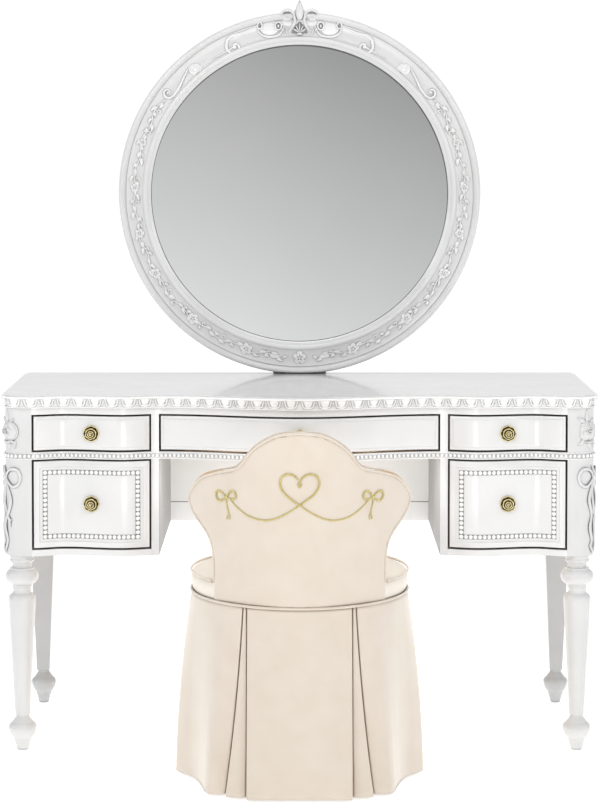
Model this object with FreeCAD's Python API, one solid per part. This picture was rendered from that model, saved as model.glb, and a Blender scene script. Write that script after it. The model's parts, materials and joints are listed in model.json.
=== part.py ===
import FreeCAD, Part
import math
import os

# Miniature kneehole dressing table with a round standing mirror and a skirted vanity chair.
# Millimetres, one twelfth of full size. +X to the right seen from the front, +Y to the back
# of the table, +Z up. The origin is on the floor, midway across and midway front to back.

V = FreeCAD.Vector

# ---- Table, outside ---------------------------------------------------------------------
FRONT_Y = -3.7            # front face of the corner posts
BACK_Y = 37.8             # back face of the carcase
TOP_Z = 63.5              # top surface
TOP_HALF_WIDTH = 52.4
TOP_OVERHANG = 0.8        # of the top past the posts, at the front only
CORNER_RADIUS = 4.0       # of the top, in plan
MOULDING_PROUD = 0.75     # of the carved moulding past the edge of the top
LIP_HEIGHT = 0.2          # thin edge of the top above the moulding
MOULDING_REBATE = 1.0

# Half of the serpentine front: (distance from the middle, offset towards the back).
SERPENTINE = [(0.0, -3.5), (24.9, 1.4), (31.5, 0.0), (41.5, 1.5), (47.3, 0.0)]

# ---- Table, levels from the floor --------------------------------------------------------
CARCASE_Z = 34.95         # underside of the pedestals
FLOOR_TOP = 35.8          # top of the pedestal floor boards
LOWER_SILL = 36.05        # bottom of the lower drawer openings
BACK_RAIL_TOP = 38.6
MID_RAIL_BOTTOM = 52.1
DUST_BOARD_TOP = 53.15
MID_RAIL_TOP = 53.4
FRIEZE_BOTTOM = 60.06
TOP_BOTTOM = 61.3

# ---- Table, stations across ---------------------------------------------------------------
KNEEHOLE_X = 24.9         # inner face of the pedestals
DIVIDER_X = 26.25         # pedestal side of the inner panels
POST_INNER_X = 47.3
POST_OUTER_X = 52.3
POST_DEPTH = 5.0
POST_RADIUS = 3.2
SIDE_PANEL = 1.0
RAIL_DEPTH = 1.6
REACH = 6.0               # forward of the posts, past the furthest bulge of the front
BACK_PANEL = 1.2
BEAD_RADIUS = 0.37        # of the beaded moulding on the middle rail

# ---- Legs -----------------------------------------------------------------------------------
FRONT_LEG = (49.35, -1.3)
BACK_LEG = (49.35, 35.2)
BACK_LEG_TOP = 4.8        # side of the square, tapering to
BACK_LEG_ANKLE = 2.4
ANKLE_Z = 6.4
DOWEL_RADIUS = 0.8
DOWEL_REACH = 3.0         # into the leg, and as far into the post

# ---- Drawers ---------------------------------------------------------------------------------
GAP = 0.34                # round every drawer front
FRONT_BOARD = 1.3
FIELD_PROUD = 0.35        # raised frame on the lower drawer fronts
FIELD_MARGIN = 0.85
FIELD_WIDTH = 2.0
BOX_CLEAR = 0.35          # between a drawer box and the carcase, each side
RUNNER_CLEAR = 0.15       # under a drawer box
BOX_HEADROOM = 0.5
SIDE_BOARD = 0.6
BOTTOM_BOARD = 0.5
BOTTOM_RAISE = 0.3
SIDE_BOX_REAR = 33.5
CENTER_BOX_REAR = 31.0
RUNNER_WIDTH = 1.2
KNOB_X = 36.8
UPPER_KNOB_Z = 56.7
CENTER_KNOB_Z = 56.6
LOWER_KNOB_Z = 44.2
SHANK_RADIUS = 0.33
SHANK_CLEAR = 0.02
NUT_RADIUS = 0.75
NUT_THICK = 0.37

# ---- Mirror ------------------------------------------------------------------------------------
MIRROR_Z = 98.1
MIRROR_RADIUS = 34.6
SIGHT_RADIUS = 28.46
REBATE_RADIUS = 29.4
GLASS = 0.5
BACKING = 0.9
CREST_TOP = 135.0
BATTEN_X = 3.8
BATTEN_WIDTH = 2.6
BATTEN_THICK = 1.45
BATTEN_BOTTOM = 44.0
BATTEN_TOP = 130.5
SCREW_RADIUS = 0.35
SCREW_HEAD = 0.75
SCREW_HEAD_HEIGHT = 0.25
SCREW_LEVELS = (46.5, 58.0, 66.3, 129.6)
SCREW_BITE = 0.9          # past the batten

# ---- Chair --------------------------------------------------------------------------------------
SEAT_Y = -17.5            # middle of the oval seat
SEAT_A = 18.45            # half width
SEAT_B = 19.75            # half depth
SEAT_BOTTOM = 32.0
SEAT_PIPING_Z = 35.4
SEAT_TOP = 36.3
BAND = 0.6
HEM_A = 21.3
HEM_B = 20.4
HEM_Z = 0.4
SKIRT = 0.5
CHAIR_LEG = (11.6, 12.5)  # from the middle of the seat
CHAIR_LEG_RADIUS = 1.4
SEAT_FRAME_BOTTOM = 28.0
BACK_Z = 32.4             # foot of the upholstered back
BACK_REAR_Y = -37.35      # rear face of the back at its foot, in the middle
BACK_CURVE = 0.0352       # rise of the plan curve: y = BACK_CURVE * x * x
BACK_LEAN = 2.0           # of the top of the back past its foot
BACK_HEIGHT = 28.9
BACK_COVER = 0.7          # padded rear cover
BACK_BOARD = 1.0
BACK_PAD = 1.5            # front pad
BOARD_INSET = 0.8
PIPING = 0.25
PIPING_WIDTH = 0.5
THREAD = 0.1              # embroidery stands this proud
THREAD_WIDTH = 0.34

PARTS = {}


# ---- Helpers -------------------------------------------------------------------------------------
def box(x0, x1, y0, y1, z0, z1):
    """Solid block between two corners."""
    return Part.makeBox(x1 - x0, y1 - y0, z1 - z0, V(x0, y0, z0))


def mirrored(shape):
    """The same shape on the other side of the middle plane."""
    return shape.mirror(V(0, 0, 0), V(1, 0, 0))


def both_sides(shape):
    return [shape, mirrored(shape)]


def group(solids):
    """Separate solids kept as one named node."""
    return Part.makeCompound(solids)


def serpentine(x):
    """Offset of the front at x: eased from one station to the next."""
    x = abs(x)
    for (x0, y0), (x1, y1) in zip(SERPENTINE, SERPENTINE[1:]):
        if x <= x1:
            return y0 + (y1 - y0) * (1 - math.cos(math.pi * (x - x0) / (x1 - x0))) / 2
    return SERPENTINE[-1][1]


def front_edge(x0, x1, y):
    """The serpentine from x0 to x1, set at y, as one smooth edge."""
    count = max(4, int((x1 - x0) / 1.6))
    xs = [x0 + (x1 - x0) * i / count for i in range(count + 1)]
    curve = Part.BSplineCurve()
    curve.interpolate([V(x, y + serpentine(x), 0) for x in xs])
    return curve.toShape()


def polyline(points):
    return [Part.makeLine(a, b) for a, b in zip(points, points[1:])]


def prism(edges, z0, z1):
    """Upright solid over a closed outline in the floor plane."""
    face = Part.Face(Part.Wire(edges))
    face.translate(V(0, 0, z0))
    return face.extrude(V(0, 0, z1 - z0))


def band(x0, x1, z0, z1, shift=0.0, thick=RAIL_DEPTH):
    """Curved board that follows the serpentine front."""
    y = FRONT_Y + shift
    front = front_edge(x0, x1, y)
    back = front.copy()
    back.translate(V(0, thick, 0))
    left = Part.makeLine(front.Vertexes[0].Point, back.Vertexes[0].Point)
    right = Part.makeLine(front.Vertexes[-1].Point, back.Vertexes[-1].Point)
    return prism([front, right, back, left], z0, z1)


def top_outline(inset):
    """Plan of the top: serpentine front, round corners, straight sides and back."""
    half = TOP_HALF_WIDTH - inset
    y = FRONT_Y - TOP_OVERHANG + inset
    r = CORNER_RADIUS - inset
    front = front_edge(-(half - r), half - r, y)
    bend = r * (1 - math.sqrt(0.5))
    right = Part.Arc(V(half - r, y, 0), V(half - bend, y + bend, 0), V(half, y + r, 0)).toShape()
    left = Part.Arc(V(r - half, y, 0), V(bend - half, y + bend, 0), V(-half, y + r, 0)).toShape()
    rest = polyline([V(half, y + r, 0), V(half, BACK_Y, 0), V(-half, BACK_Y, 0), V(-half, y + r, 0)])
    return [front, right] + rest + [left]


def turned(profile, x, y):
    """Solid of revolution about an upright axis. profile: (z, r), or (z, r, mid_z, mid_r)
    where the stretch up to that point is an arc through the middle point."""
    points = [V(row[1], 0, row[0]) for row in profile]
    edges = []
    for row, start, end in zip(profile[1:], points, points[1:]):
        if len(row) == 4:
            edges.append(Part.Arc(start, V(row[3], 0, row[2]), end).toShape())
        else:
            edges.append(Part.makeLine(start, end))
    low, high = V(0, 0, points[0].z), V(0, 0, points[-1].z)
    edges = [Part.makeLine(low, points[0])] + edges + [Part.makeLine(points[-1], high)]
    edges.append(Part.makeLine(high, low))
    solid = Part.Face(Part.Wire(edges)).revolve(V(0, 0, 0), V(0, 0, 1), 360)
    solid.translate(V(x, y, 0))
    return solid


def turned_level(profile, x, y, z):
    """Solid of revolution about a level axis along Y. profile: (distance forward, r)."""
    points = [V(r, 0, -d) for d, r in profile]
    points = [V(0, 0, points[0].z)] + points + [V(0, 0, points[-1].z)]
    solid = Part.Face(Part.makePolygon(points + points[:1])).revolve(V(0, 0, 0), V(0, 0, 1), 360)
    solid.rotate(V(0, 0, 0), V(1, 0, 0), -90)
    solid.translate(V(x, y, z))
    return solid


def rod(x, y0, y1, z, radius):
    """Round rod along Y."""
    return Part.makeCylinder(radius, y1 - y0, V(x, y0, z), V(0, 1, 0))


def disc(radius, y0, y1):
    """Disc of the mirror, on its axis."""
    return rod(0, y0, y1, MIRROR_Z, radius)


# ---- Carcase ---------------------------------------------------------------------------------------
def make_top():
    core = prism(top_outline(MOULDING_REBATE), TOP_BOTTOM, TOP_Z - LIP_HEIGHT)
    lip = prism(top_outline(0), TOP_Z - LIP_HEIGHT, TOP_Z)
    PARTS["table_top"] = core.fuse(lip).removeSplitter()
    inner = prism(top_outline(MOULDING_REBATE), TOP_BOTTOM, TOP_Z - LIP_HEIGHT)
    proud = prism(top_outline(-MOULDING_PROUD), TOP_BOTTOM + 0.45, TOP_Z - LIP_HEIGHT)
    cove = prism(top_outline(-MOULDING_PROUD / 2), TOP_BOTTOM, TOP_BOTTOM + 0.45)
    PARTS["top_moulding"] = proud.fuse(cove).cut(inner).removeSplitter()


def post_outline():
    """Plan of a front post: square, with a round outer corner."""
    x0, x1, y0, y1 = POST_INNER_X, POST_OUTER_X, FRONT_Y, FRONT_Y + POST_DEPTH
    bend = POST_RADIUS * (1 - math.sqrt(0.5))
    start, end = V(x1 - POST_RADIUS, y0, 0), V(x1, y0 + POST_RADIUS, 0)
    corner = Part.Arc(start, V(x1 - bend, y0 + bend, 0), end).toShape()
    return [corner] + polyline([end, V(x1, y1, 0), V(x0, y1, 0), V(x0, y0, 0), start])


def dowel(centre, z0, z1):
    return Part.makeCylinder(DOWEL_RADIUS, z1 - z0, V(centre[0], centre[1], z0))


def make_posts():
    hole = dowel(FRONT_LEG, CARCASE_Z, CARCASE_Z + DOWEL_REACH)
    post = prism(post_outline(), CARCASE_Z, TOP_BOTTOM).cut(hole)
    PARTS["corner_post_right"] = post
    PARTS["corner_post_left"] = mirrored(post)
    rear = box(POST_INNER_X, POST_OUTER_X, BACK_Y - POST_DEPTH, BACK_Y, CARCASE_Z, TOP_BOTTOM)
    rear = rear.cut(dowel(BACK_LEG, CARCASE_Z, CARCASE_Z + DOWEL_REACH))
    PARTS["rear_posts"] = group(both_sides(rear))


def make_rails():
    PARTS["frieze_rail"] = band(-POST_INNER_X, POST_INNER_X, FRIEZE_BOTTOM, TOP_BOTTOM)
    PARTS["mid_rail"] = band(-POST_INNER_X, POST_INNER_X, MID_RAIL_BOTTOM, MID_RAIL_TOP)
    lower = band(DIVIDER_X, POST_INNER_X, CARCASE_Z, LOWER_SILL)
    PARTS["bottom_rails"] = group(both_sides(lower))


def make_bead_moulding():
    """Half-round strip along the middle rail and round the two front posts."""
    z = (MID_RAIL_BOTTOM + MID_RAIL_TOP) / 2
    z0, z1 = z - BEAD_RADIUS, z + BEAD_RADIUS
    rail = band(-POST_INNER_X, POST_INNER_X, z0, z1, -BEAD_RADIUS, BEAD_RADIUS)
    core = prism(post_outline(), z0, z1)
    x1, y0 = POST_OUTER_X + BEAD_RADIUS, FRONT_Y - BEAD_RADIUS
    r = POST_RADIUS + BEAD_RADIUS
    bend = r * (1 - math.sqrt(0.5))
    start, end = V(x1 - r, y0, 0), V(x1, y0 + r, 0)
    arc = Part.Arc(start, V(x1 - bend, y0 + bend, 0), end).toShape()
    rear_y = BACK_Y - POST_DEPTH
    side_x = POST_OUTER_X
    path = [end, V(x1, rear_y, 0), V(side_x, rear_y, 0), V(side_x, FRONT_Y + POST_DEPTH, 0),
            V(POST_INNER_X, FRONT_Y + POST_DEPTH, 0), V(POST_INNER_X, y0, 0), start]
    strip = prism([arc] + polyline(path), z0, z1).cut(core)
    PARTS["bead_moulding"] = rail.fuse(both_sides(strip)).removeSplitter()


def make_panels():
    y0, y1 = FRONT_Y + POST_DEPTH, BACK_Y - POST_DEPTH
    side = box(POST_OUTER_X - SIDE_PANEL, POST_OUTER_X, y0, y1, CARCASE_Z, TOP_BOTTOM)
    PARTS["side_panel_right"] = side
    PARTS["side_panel_left"] = mirrored(side)

    back_y = BACK_Y - BACK_PANEL
    trim = band(KNEEHOLE_X - 1, DIVIDER_X + 1, CARCASE_Z - 1, TOP_Z, -8, 8)
    inner = box(KNEEHOLE_X, DIVIDER_X, FRONT_Y - 1, back_y, CARCASE_Z, MID_RAIL_BOTTOM).cut(trim)
    PARTS["inner_panel_right"] = inner
    PARTS["inner_panel_left"] = mirrored(inner)

    divider = box(KNEEHOLE_X, DIVIDER_X, FRONT_Y - 1, back_y, DUST_BOARD_TOP, TOP_BOTTOM).cut(trim)
    rails = band(-POST_INNER_X, POST_INNER_X, FRIEZE_BOTTOM, TOP_BOTTOM)
    rails = rails.fuse(band(-POST_INNER_X, POST_INNER_X, MID_RAIL_BOTTOM, MID_RAIL_TOP))
    divider = divider.cut(rails)
    PARTS["drawer_partitions"] = group(both_sides(divider))

    behind_rail = band(-POST_INNER_X, POST_INNER_X, MID_RAIL_BOTTOM, MID_RAIL_TOP, -8, 8 + RAIL_DEPTH)
    half = POST_OUTER_X - SIDE_PANEL
    dust = box(-half, half, FRONT_Y - REACH, back_y, MID_RAIL_BOTTOM, DUST_BOARD_TOP)
    dust = dust.cut(behind_rail)
    for x0, x1 in ((POST_INNER_X, half + 1), (-half - 1, -POST_INNER_X)):
        dust = dust.cut(box(x0, x1, FRONT_Y - REACH, y0, CARCASE_Z, TOP_Z))
        dust = dust.cut(box(x0, x1, y1, BACK_Y, CARCASE_Z, TOP_Z))
    PARTS["dust_board"] = dust

    behind_sill = band(DIVIDER_X, POST_INNER_X, CARCASE_Z, LOWER_SILL, -8, 8 + RAIL_DEPTH)
    floor = box(DIVIDER_X, half, FRONT_Y - REACH, back_y, CARCASE_Z, FLOOR_TOP).cut(behind_sill)
    floor = floor.cut(box(POST_INNER_X, half + 1, FRONT_Y - REACH, y0, CARCASE_Z, TOP_Z))
    floor = floor.cut(box(POST_INNER_X, half + 1, y1, BACK_Y, CARCASE_Z, TOP_Z))
    PARTS["pedestal_floors"] = group(both_sides(floor))

    inner_x = POST_INNER_X
    PARTS["back_rail"] = box(-inner_x, inner_x, back_y, BACK_Y, CARCASE_Z, BACK_RAIL_TOP)
    PARTS["back_panel"] = box(-inner_x, inner_x, back_y, BACK_Y, BACK_RAIL_TOP, TOP_BOTTOM)


def make_runners():
    """Thin strips that the drawer boxes slide on, and the fillers that guide their outer sides."""
    strips = []
    y0, rear = FRONT_Y + 3.2, SIDE_BOX_REAR
    left_x, right_x = DIVIDER_X, POST_INNER_X
    for z0, z1 in ((FLOOR_TOP, LOWER_SILL), (DUST_BOARD_TOP, MID_RAIL_TOP)):
        for x0 in (left_x, right_x - RUNNER_WIDTH):
            strips += both_sides(box(x0, x0 + RUNNER_WIDTH, y0, rear, z0, z1))
    edge = KNEEHOLE_X - RUNNER_WIDTH
    strips += both_sides(box(edge, KNEEHOLE_X, y0, CENTER_BOX_REAR, DUST_BOARD_TOP, MID_RAIL_TOP))
    guide_x = POST_OUTER_X - SIDE_PANEL
    y0, y1 = FRONT_Y + POST_DEPTH, BACK_Y - POST_DEPTH
    for z0 in (FLOOR_TOP, DUST_BOARD_TOP):
        strips += both_sides(box(right_x, guide_x, y0, y1, z0, z0 + 1.6))
    PARTS["drawer_runners"] = group(strips)


# ---- Legs -----------------------------------------------------------------------------------------
FRONT_LEG_PROFILE = [
    (0, 0.97), (2.1, 1.6), (2.25, 1.75), (3.96, 2.52, 3.0, 2.22), (4.9, 1.92, 4.55, 2.33),
    (5.75, 1.3), (5.93, 1.18), (6.1, 1.18), (6.25, 1.32), (26.9, 2.43), (28.1, 1.72, 27.7, 2.2),
    (28.65, 1.6, 28.35, 1.62), (29.15, 1.64), (29.2, 1.74), (29.6, 1.78), (29.65, 1.86),
    (32.35, 2.2, 31.2, 2.92), (32.62, 2.18), (32.7, 1.78), (33.2, 1.68), (33.55, 1.82),
    (33.65, 2.0), (34.3, 2.05, 33.98, 2.16), (CARCASE_Z, 2.15)]
BULB_PROFILE = [
    (0, 0.9), (2.1, 1.5), (2.25, 1.65), (3.96, 2.36, 3.0, 2.1), (4.9, 1.78, 4.55, 2.18),
    (5.75, 1.2), (5.93, 1.08), (ANKLE_Z, 1.1)]


def square(side, z):
    h = side / 2
    points = [V(-h, -h, z), V(h, -h, z), V(h, h, z), V(-h, h, z), V(-h, -h, z)]
    return Part.makePolygon(points)


def make_legs():
    leg = turned(FRONT_LEG_PROFILE, *FRONT_LEG)
    leg = leg.cut(dowel(FRONT_LEG, CARCASE_Z - DOWEL_REACH, CARCASE_Z))
    PARTS["front_leg_right"] = leg
    PARTS["front_leg_left"] = mirrored(leg)
    taper = Part.makeLoft([square(BACK_LEG_ANKLE, ANKLE_Z), square(BACK_LEG_TOP, CARCASE_Z)], True, True)
    taper.translate(V(BACK_LEG[0], BACK_LEG[1], 0))
    back = taper.fuse(turned(BULB_PROFILE, *BACK_LEG))
    back = back.cut(dowel(BACK_LEG, CARCASE_Z - DOWEL_REACH, CARCASE_Z))
    PARTS["back_leg_right"] = back
    PARTS["back_leg_left"] = mirrored(back)
    pegs = []
    for centre in (FRONT_LEG, BACK_LEG):
        pegs += both_sides(dowel(centre, CARCASE_Z - DOWEL_REACH, CARCASE_Z + DOWEL_REACH))
    PARTS["leg_dowels"] = group(pegs)


# ---- Drawers --------------------------------------------------------------------------------------
# Knob: (distance forward of the drawer front, radius).
KNOB_PROFILE = [
    (-0.3, 1.32), (0.25, 1.32), (0.5, 1.05), (0.75, 0.9), (0.9, 0.5), (1.15, 0.5), (1.4, 0.85),
    (1.8, 1.0), (2.1, 0.8), (2.3, 0.4)]


def knob(x, z, front):
    """Rosette knob bedded on the front board, with its shank through it and a nut inside."""
    y = FRONT_Y + serpentine(x)
    inside = y + FRONT_BOARD
    head = turned_level(KNOB_PROFILE, x, y, z).cut(front)
    nut = rod(x, inside - NUT_THICK, inside + NUT_THICK, z, NUT_RADIUS).cut(front)
    return head.fuse([rod(x, y - 0.1, inside + NUT_THICK, z, SHANK_RADIUS), nut])


def drawer(name, x0, x1, z0, z1, rear, knob_x, knob_z, raised):
    """One drawer in the opening x0..x1, z0..z1: front, box of four boards, knob."""
    fx0, fx1, fz0, fz1 = x0 + GAP, x1 - GAP, z0 + GAP, z1 - GAP
    front = band(fx0, fx1, fz0, fz1, 0, FRONT_BOARD)
    if raised:
        a0, a1 = fx0 + FIELD_MARGIN, fx1 - FIELD_MARGIN
        b0, b1 = fz0 + FIELD_MARGIN, fz1 - FIELD_MARGIN
        w = FIELD_WIDTH
        outer = band(a0, a1, b0, b1, -FIELD_PROUD, FIELD_PROUD + 0.5)
        inner = band(a0 + w, a1 - w, b0 + w, b1 - w, -1, 2)
        front = front.fuse(outer.cut(inner))
    bore = rod(knob_x, FRONT_Y - REACH, FRONT_Y + REACH, knob_z, SHANK_RADIUS + SHANK_CLEAR)
    PARTS[name + "_front"] = front.cut(bore)
    PARTS[name + "_knob"] = knob(knob_x, knob_z, front)

    ahead = band(x0 - 0.5, x1 + 0.5, z0 - 1, z1 + 1, -12, 12 + FRONT_BOARD)
    bx0, bx1 = x0 + BOX_CLEAR, x1 - BOX_CLEAR
    bz0, bz1 = z0 + RUNNER_CLEAR, z1 - BOX_HEADROOM
    y = FRONT_Y - REACH
    ix0, ix1 = bx0 + SIDE_BOARD, bx1 - SIDE_BOARD
    bottom_z = bz0 + BOTTOM_RAISE
    boards = [
        box(bx0, ix0, y, rear, bz0, bz1).cut(ahead),
        box(ix1, bx1, y, rear, bz0, bz1).cut(ahead),
        box(ix0, ix1, rear - SIDE_BOARD, rear, bz0, bz1),
        box(ix0, ix1, y, rear - SIDE_BOARD, bottom_z, bottom_z + BOTTOM_BOARD).cut(ahead)]
    PARTS[name + "_box"] = group(boards)


def make_drawers():
    for side, sign in (("left", -1), ("right", 1)):
        x0, x1 = sorted((sign * DIVIDER_X, sign * POST_INNER_X))
        x = sign * KNOB_X
        drawer("drawer_upper_" + side, x0, x1, MID_RAIL_TOP, FRIEZE_BOTTOM, SIDE_BOX_REAR,
               x, UPPER_KNOB_Z, False)
        drawer("drawer_lower_" + side, x0, x1, LOWER_SILL, MID_RAIL_BOTTOM, SIDE_BOX_REAR,
               x, LOWER_KNOB_Z, True)
    drawer("drawer_center", -KNEEHOLE_X, KNEEHOLE_X, MID_RAIL_TOP, FRIEZE_BOTTOM, CENTER_BOX_REAR,
           0, CENTER_KNOB_Z, False)


# ---- Mirror ---------------------------------------------------------------------------------------
# Section of the ring: (distance forward of the back, radius), from the rebate round the face.
RING_SECTION = [
    (0, REBATE_RADIUS), (1.6, REBATE_RADIUS), (1.6, SIGHT_RADIUS), (2.3, SIGHT_RADIUS),
    (2.9, 28.9), (3.0, 29.6), (2.5, 30.2), (2.3, 31.7), (2.6, 33.0), (3.0, 33.3), (3.2, 33.9),
    (2.9, 34.4), (2.2, MIRROR_RADIUS), (0, MIRROR_RADIUS)]


def mirror_ring():
    points = [V(r, 0, -d) for d, r in RING_SECTION]
    solid = Part.Face(Part.makePolygon(points + points[:1])).revolve(V(0, 0, 0), V(0, 0, 1), 360)
    solid.rotate(V(0, 0, 0), V(1, 0, 0), -90)
    solid.translate(V(0, BACK_Y, MIRROR_Z))
    return solid


def crest_outline():
    """Small shell-shaped crest: a pointed middle leaf between two lower leaves."""
    base = MIRROR_Z + MIRROR_RADIUS - 2.6
    side = [V(3.4, 0, base), V(3.9, 0, base + 1.2), V(2.6, 0, base + 1.7), V(1.9, 0, base + 3.0),
            V(1.1, 0, base + 2.6), V(0.8, 0, base + 3.9)]
    other = [V(-p.x, 0, p.z) for p in reversed(side)]
    return Part.Face(Part.makePolygon(side + [V(0, 0, CREST_TOP)] + other + side[:1]))


def make_mirror():
    ring = mirror_ring()
    PARTS["mirror_frame"] = ring
    y = BACK_Y - 1.6
    PARTS["mirror_glass"] = disc(REBATE_RADIUS, y, y + GLASS)
    PARTS["mirror_backing"] = disc(REBATE_RADIUS, y + GLASS, y + GLASS + BACKING)
    crest = crest_outline().extrude(V(0, 2.9, 0))
    crest.translate(V(0, BACK_Y - 3.9, 0))
    PARTS["mirror_crest"] = crest.cut(ring)
    back = BACK_Y + BATTEN_THICK
    battens, screws = [], []
    for x in (-BATTEN_X, BATTEN_X):
        h = BATTEN_WIDTH / 2
        batten = box(x - h, x + h, BACK_Y, back, BATTEN_BOTTOM, BATTEN_TOP)
        for z in SCREW_LEVELS:
            shank = rod(x, BACK_Y - SCREW_BITE, back, z, SCREW_RADIUS)
            batten = batten.cut(shank)
            screws.append(shank.fuse(rod(x, back, back + SCREW_HEAD_HEIGHT, z, SCREW_HEAD)))
        battens.append(batten)
    PARTS["mirror_battens"] = group(battens)
    PARTS["batten_screws"] = group(screws)
    holes = [rod(x, BACK_Y - SCREW_BITE, back, z, SCREW_RADIUS)
             for x in (-BATTEN_X, BATTEN_X) for z in SCREW_LEVELS]
    for name in ("mirror_frame", "back_panel", "mirror_backing"):
        PARTS[name] = PARTS[name].cut(group(holes))


# ---- Carved ornaments on the front posts ------------------------------------------------------------
def on_post(outline, proud):
    """Flat ornament outline (x, z), wrapped round a front post as a thin skin."""
    skin = prism(post_outline(), CARCASE_Z, TOP_BOTTOM)
    shell = skin.makeOffsetShape(proud, 0.01, join=0)
    face = Part.Face(Part.makePolygon([V(x, 0, z) for x, z in outline + outline[:1]]))
    face.translate(V(0, FRONT_Y - 2, 0))
    return shell.common(face.extrude(V(0, POST_RADIUS + 2, 0))).cut(skin)


def make_ornaments():
    rose = [(49.4 + 2.3 * math.sin(a) * k, 57.4 + 3.4 * math.cos(a) * k)
            for a, k in ((math.radians(20 * i), 1.0 if i % 2 else 0.84) for i in range(18))]
    bow = [(48.6, 52.9 - 1.6), (50.0, 49.8), (51.4, 51.3), (51.9, 48.9), (50.9, 48.2),
           (51.6, 44.5), (50.9, 41.0), (51.3, 38.2), (50.2, 37.6), (49.9, 41.0), (50.5, 44.4),
           (49.9, 47.0), (48.7, 42.6), (48.0, 43.0), (49.1, 48.2), (48.1, 48.9)]
    for name, outline in (("rose_appliques", rose), ("ribbon_appliques", bow)):
        PARTS[name] = group(both_sides(on_post(outline, 0.4)))


# ---- Chair ------------------------------------------------------------------------------------------
def oval(a, b, z):
    """Closed ellipse about the middle of the seat."""
    if a >= b:
        edge = Part.Ellipse(V(0, 0, 0), a, b).toShape()
    else:
        edge = Part.Ellipse(V(0, 0, 0), b, a).toShape()
        edge.rotate(V(0, 0, 0), V(0, 0, 1), 90)
    edge.translate(V(0, SEAT_Y, z))
    return Part.Wire(edge)


def oval_disc(inset, z0, z1):
    face = Part.Face(oval(SEAT_A - inset, SEAT_B - inset, z0))
    return face.extrude(V(0, 0, z1 - z0))


def oval_ring(inset, thick, z0, z1):
    return oval_disc(inset, z0, z1).cut(oval_disc(inset + thick, z0 - 1, z1 + 1))


def tapered(a0, b0, z0, a1, b1, z1):
    return Part.makeLoft([oval(a0, b0, z0), oval(a1, b1, z1)], True, True)


def arc(a, mid, b):
    return Part.Arc(a, mid, b).toShape()


def back_outline():
    """Scalloped crown outline of the chair back in the XZ plane, closed."""
    right = [(0, 61.1), (7.3, 58.6), (10.6, 55.05), (13.9, 54.65), (18.5, 49.3), (17.3, 45.9),
             (14.75, 41.0)]
    p = [V(x, 0, z) for x, z in right]
    q = [V(-x, 0, z) for x, z in right]
    crown = arc(q[2], p[0], p[2])
    foot_r, foot_l = V(14.6, 0, BACK_Z), V(-14.6, 0, BACK_Z)
    shoulder = V(17.55, 0, 52.6)
    hip = V(15.75, 0, 43.5)
    edges = [crown, arc(p[2], V(12.2, 0, 55.0), p[3]), arc(p[3], shoulder, p[4])]
    edges += [arc(p[4], V(18.2, 0, 47.5), p[5]), arc(p[5], hip, p[6])]
    edges += [Part.makeLine(p[6], foot_r), Part.makeLine(foot_r, foot_l), Part.makeLine(foot_l, q[6])]
    edges += [arc(q[6], V(-hip.x, 0, hip.z), q[5]), arc(q[5], V(-18.2, 0, 47.5), q[4])]
    edges += [arc(q[4], V(-shoulder.x, 0, shoulder.z), q[3]), arc(q[3], V(-12.2, 0, 55.0), q[2])]
    return Part.Wire(edges)


def back_layer(wire, shift, thick):
    """Slice of the leaning, curved back between two depths, cut to an outline."""
    xs = [-20 + 4 * i for i in range(11)]
    curve = Part.BSplineCurve()
    curve.interpolate([V(x, BACK_REAR_Y + shift + BACK_CURVE * x * x, 0) for x in xs])
    rear = curve.toShape()
    front = rear.copy()
    front.translate(V(0, thick, 0))
    ends = [Part.makeLine(rear.Vertexes[i].Point, front.Vertexes[i].Point) for i in (0, -1)]
    face = Part.Face(Part.Wire([rear, ends[1], front, ends[0]]))
    face.translate(V(0, 0, BACK_Z))
    ribbon = face.extrude(V(0, -BACK_LEAN, BACK_HEIGHT + 1))
    cutter = Part.Face(wire)
    cutter.translate(V(0, -60, 0))
    return ribbon.common(cutter.extrude(V(0, 70, 0)))


def stroke(points, width):
    """Flat band of one width along a polyline in the XZ plane."""
    left, right = [], []
    for i, (x, z) in enumerate(points):
        ax, az = points[max(i - 1, 0)]
        bx, bz = points[min(i + 1, len(points) - 1)]
        length = math.hypot(bx - ax, bz - az)
        nx, nz = -(bz - az) / length * width / 2, (bx - ax) / length * width / 2
        left.append(V(x + nx, 0, z + nz))
        right.append(V(x - nx, 0, z - nz))
    outline = left + right[::-1]
    return Part.makePolygon(outline + outline[:1])


def heart_line():
    """Half of the heart, from the tip where the lines cross up over one lobe to the dip."""
    tip, dip, lobe = (0.0, 49.4), (0.0, 53.5), (1.75, 52.75)
    radius = 1.7
    angles = [math.radians(-20 + 20 * i) for i in range(9)]
    over = [(lobe[0] + radius * math.cos(a), lobe[1] + radius * math.sin(a)) for a in angles]
    return [tip, (1.6, 50.5), (2.8, 51.5)] + over[1:] + [dip]


def swag_line():
    """One swag, from the crossing of the heart down and up to the bow."""
    start, low, end = (0.0, 49.4), (5.9, 46.7), (12.1, 49.9)
    first = [(start[0] + (low[0] - start[0]) * t, low[1] + (start[1] - low[1]) * (1 - t) ** 2)
             for t in (0, 0.25, 0.5, 0.75)]
    second = [(low[0] + (end[0] - low[0]) * t, low[1] + (end[1] - low[1]) * t * t)
              for t in (0, 0.25, 0.5, 0.75, 1)]
    return first + second


def bow_lines():
    """Two loops and two tails of one bow, about its knot."""
    x, z = 12.1, 50.0
    lines = []
    for s in (-1, 1):
        lines.append([(x, z), (x + s * 0.9, z + 0.95), (x + s * 1.75, z + 0.8), (x + s * 1.6, z + 0.1)])
        lines.append([(x, z - 0.1), (x + s * 0.5, z - 1.3), (x + s * 0.3, z - 2.3), (x + s * 0.9, z - 3.5)])
    return lines


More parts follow.
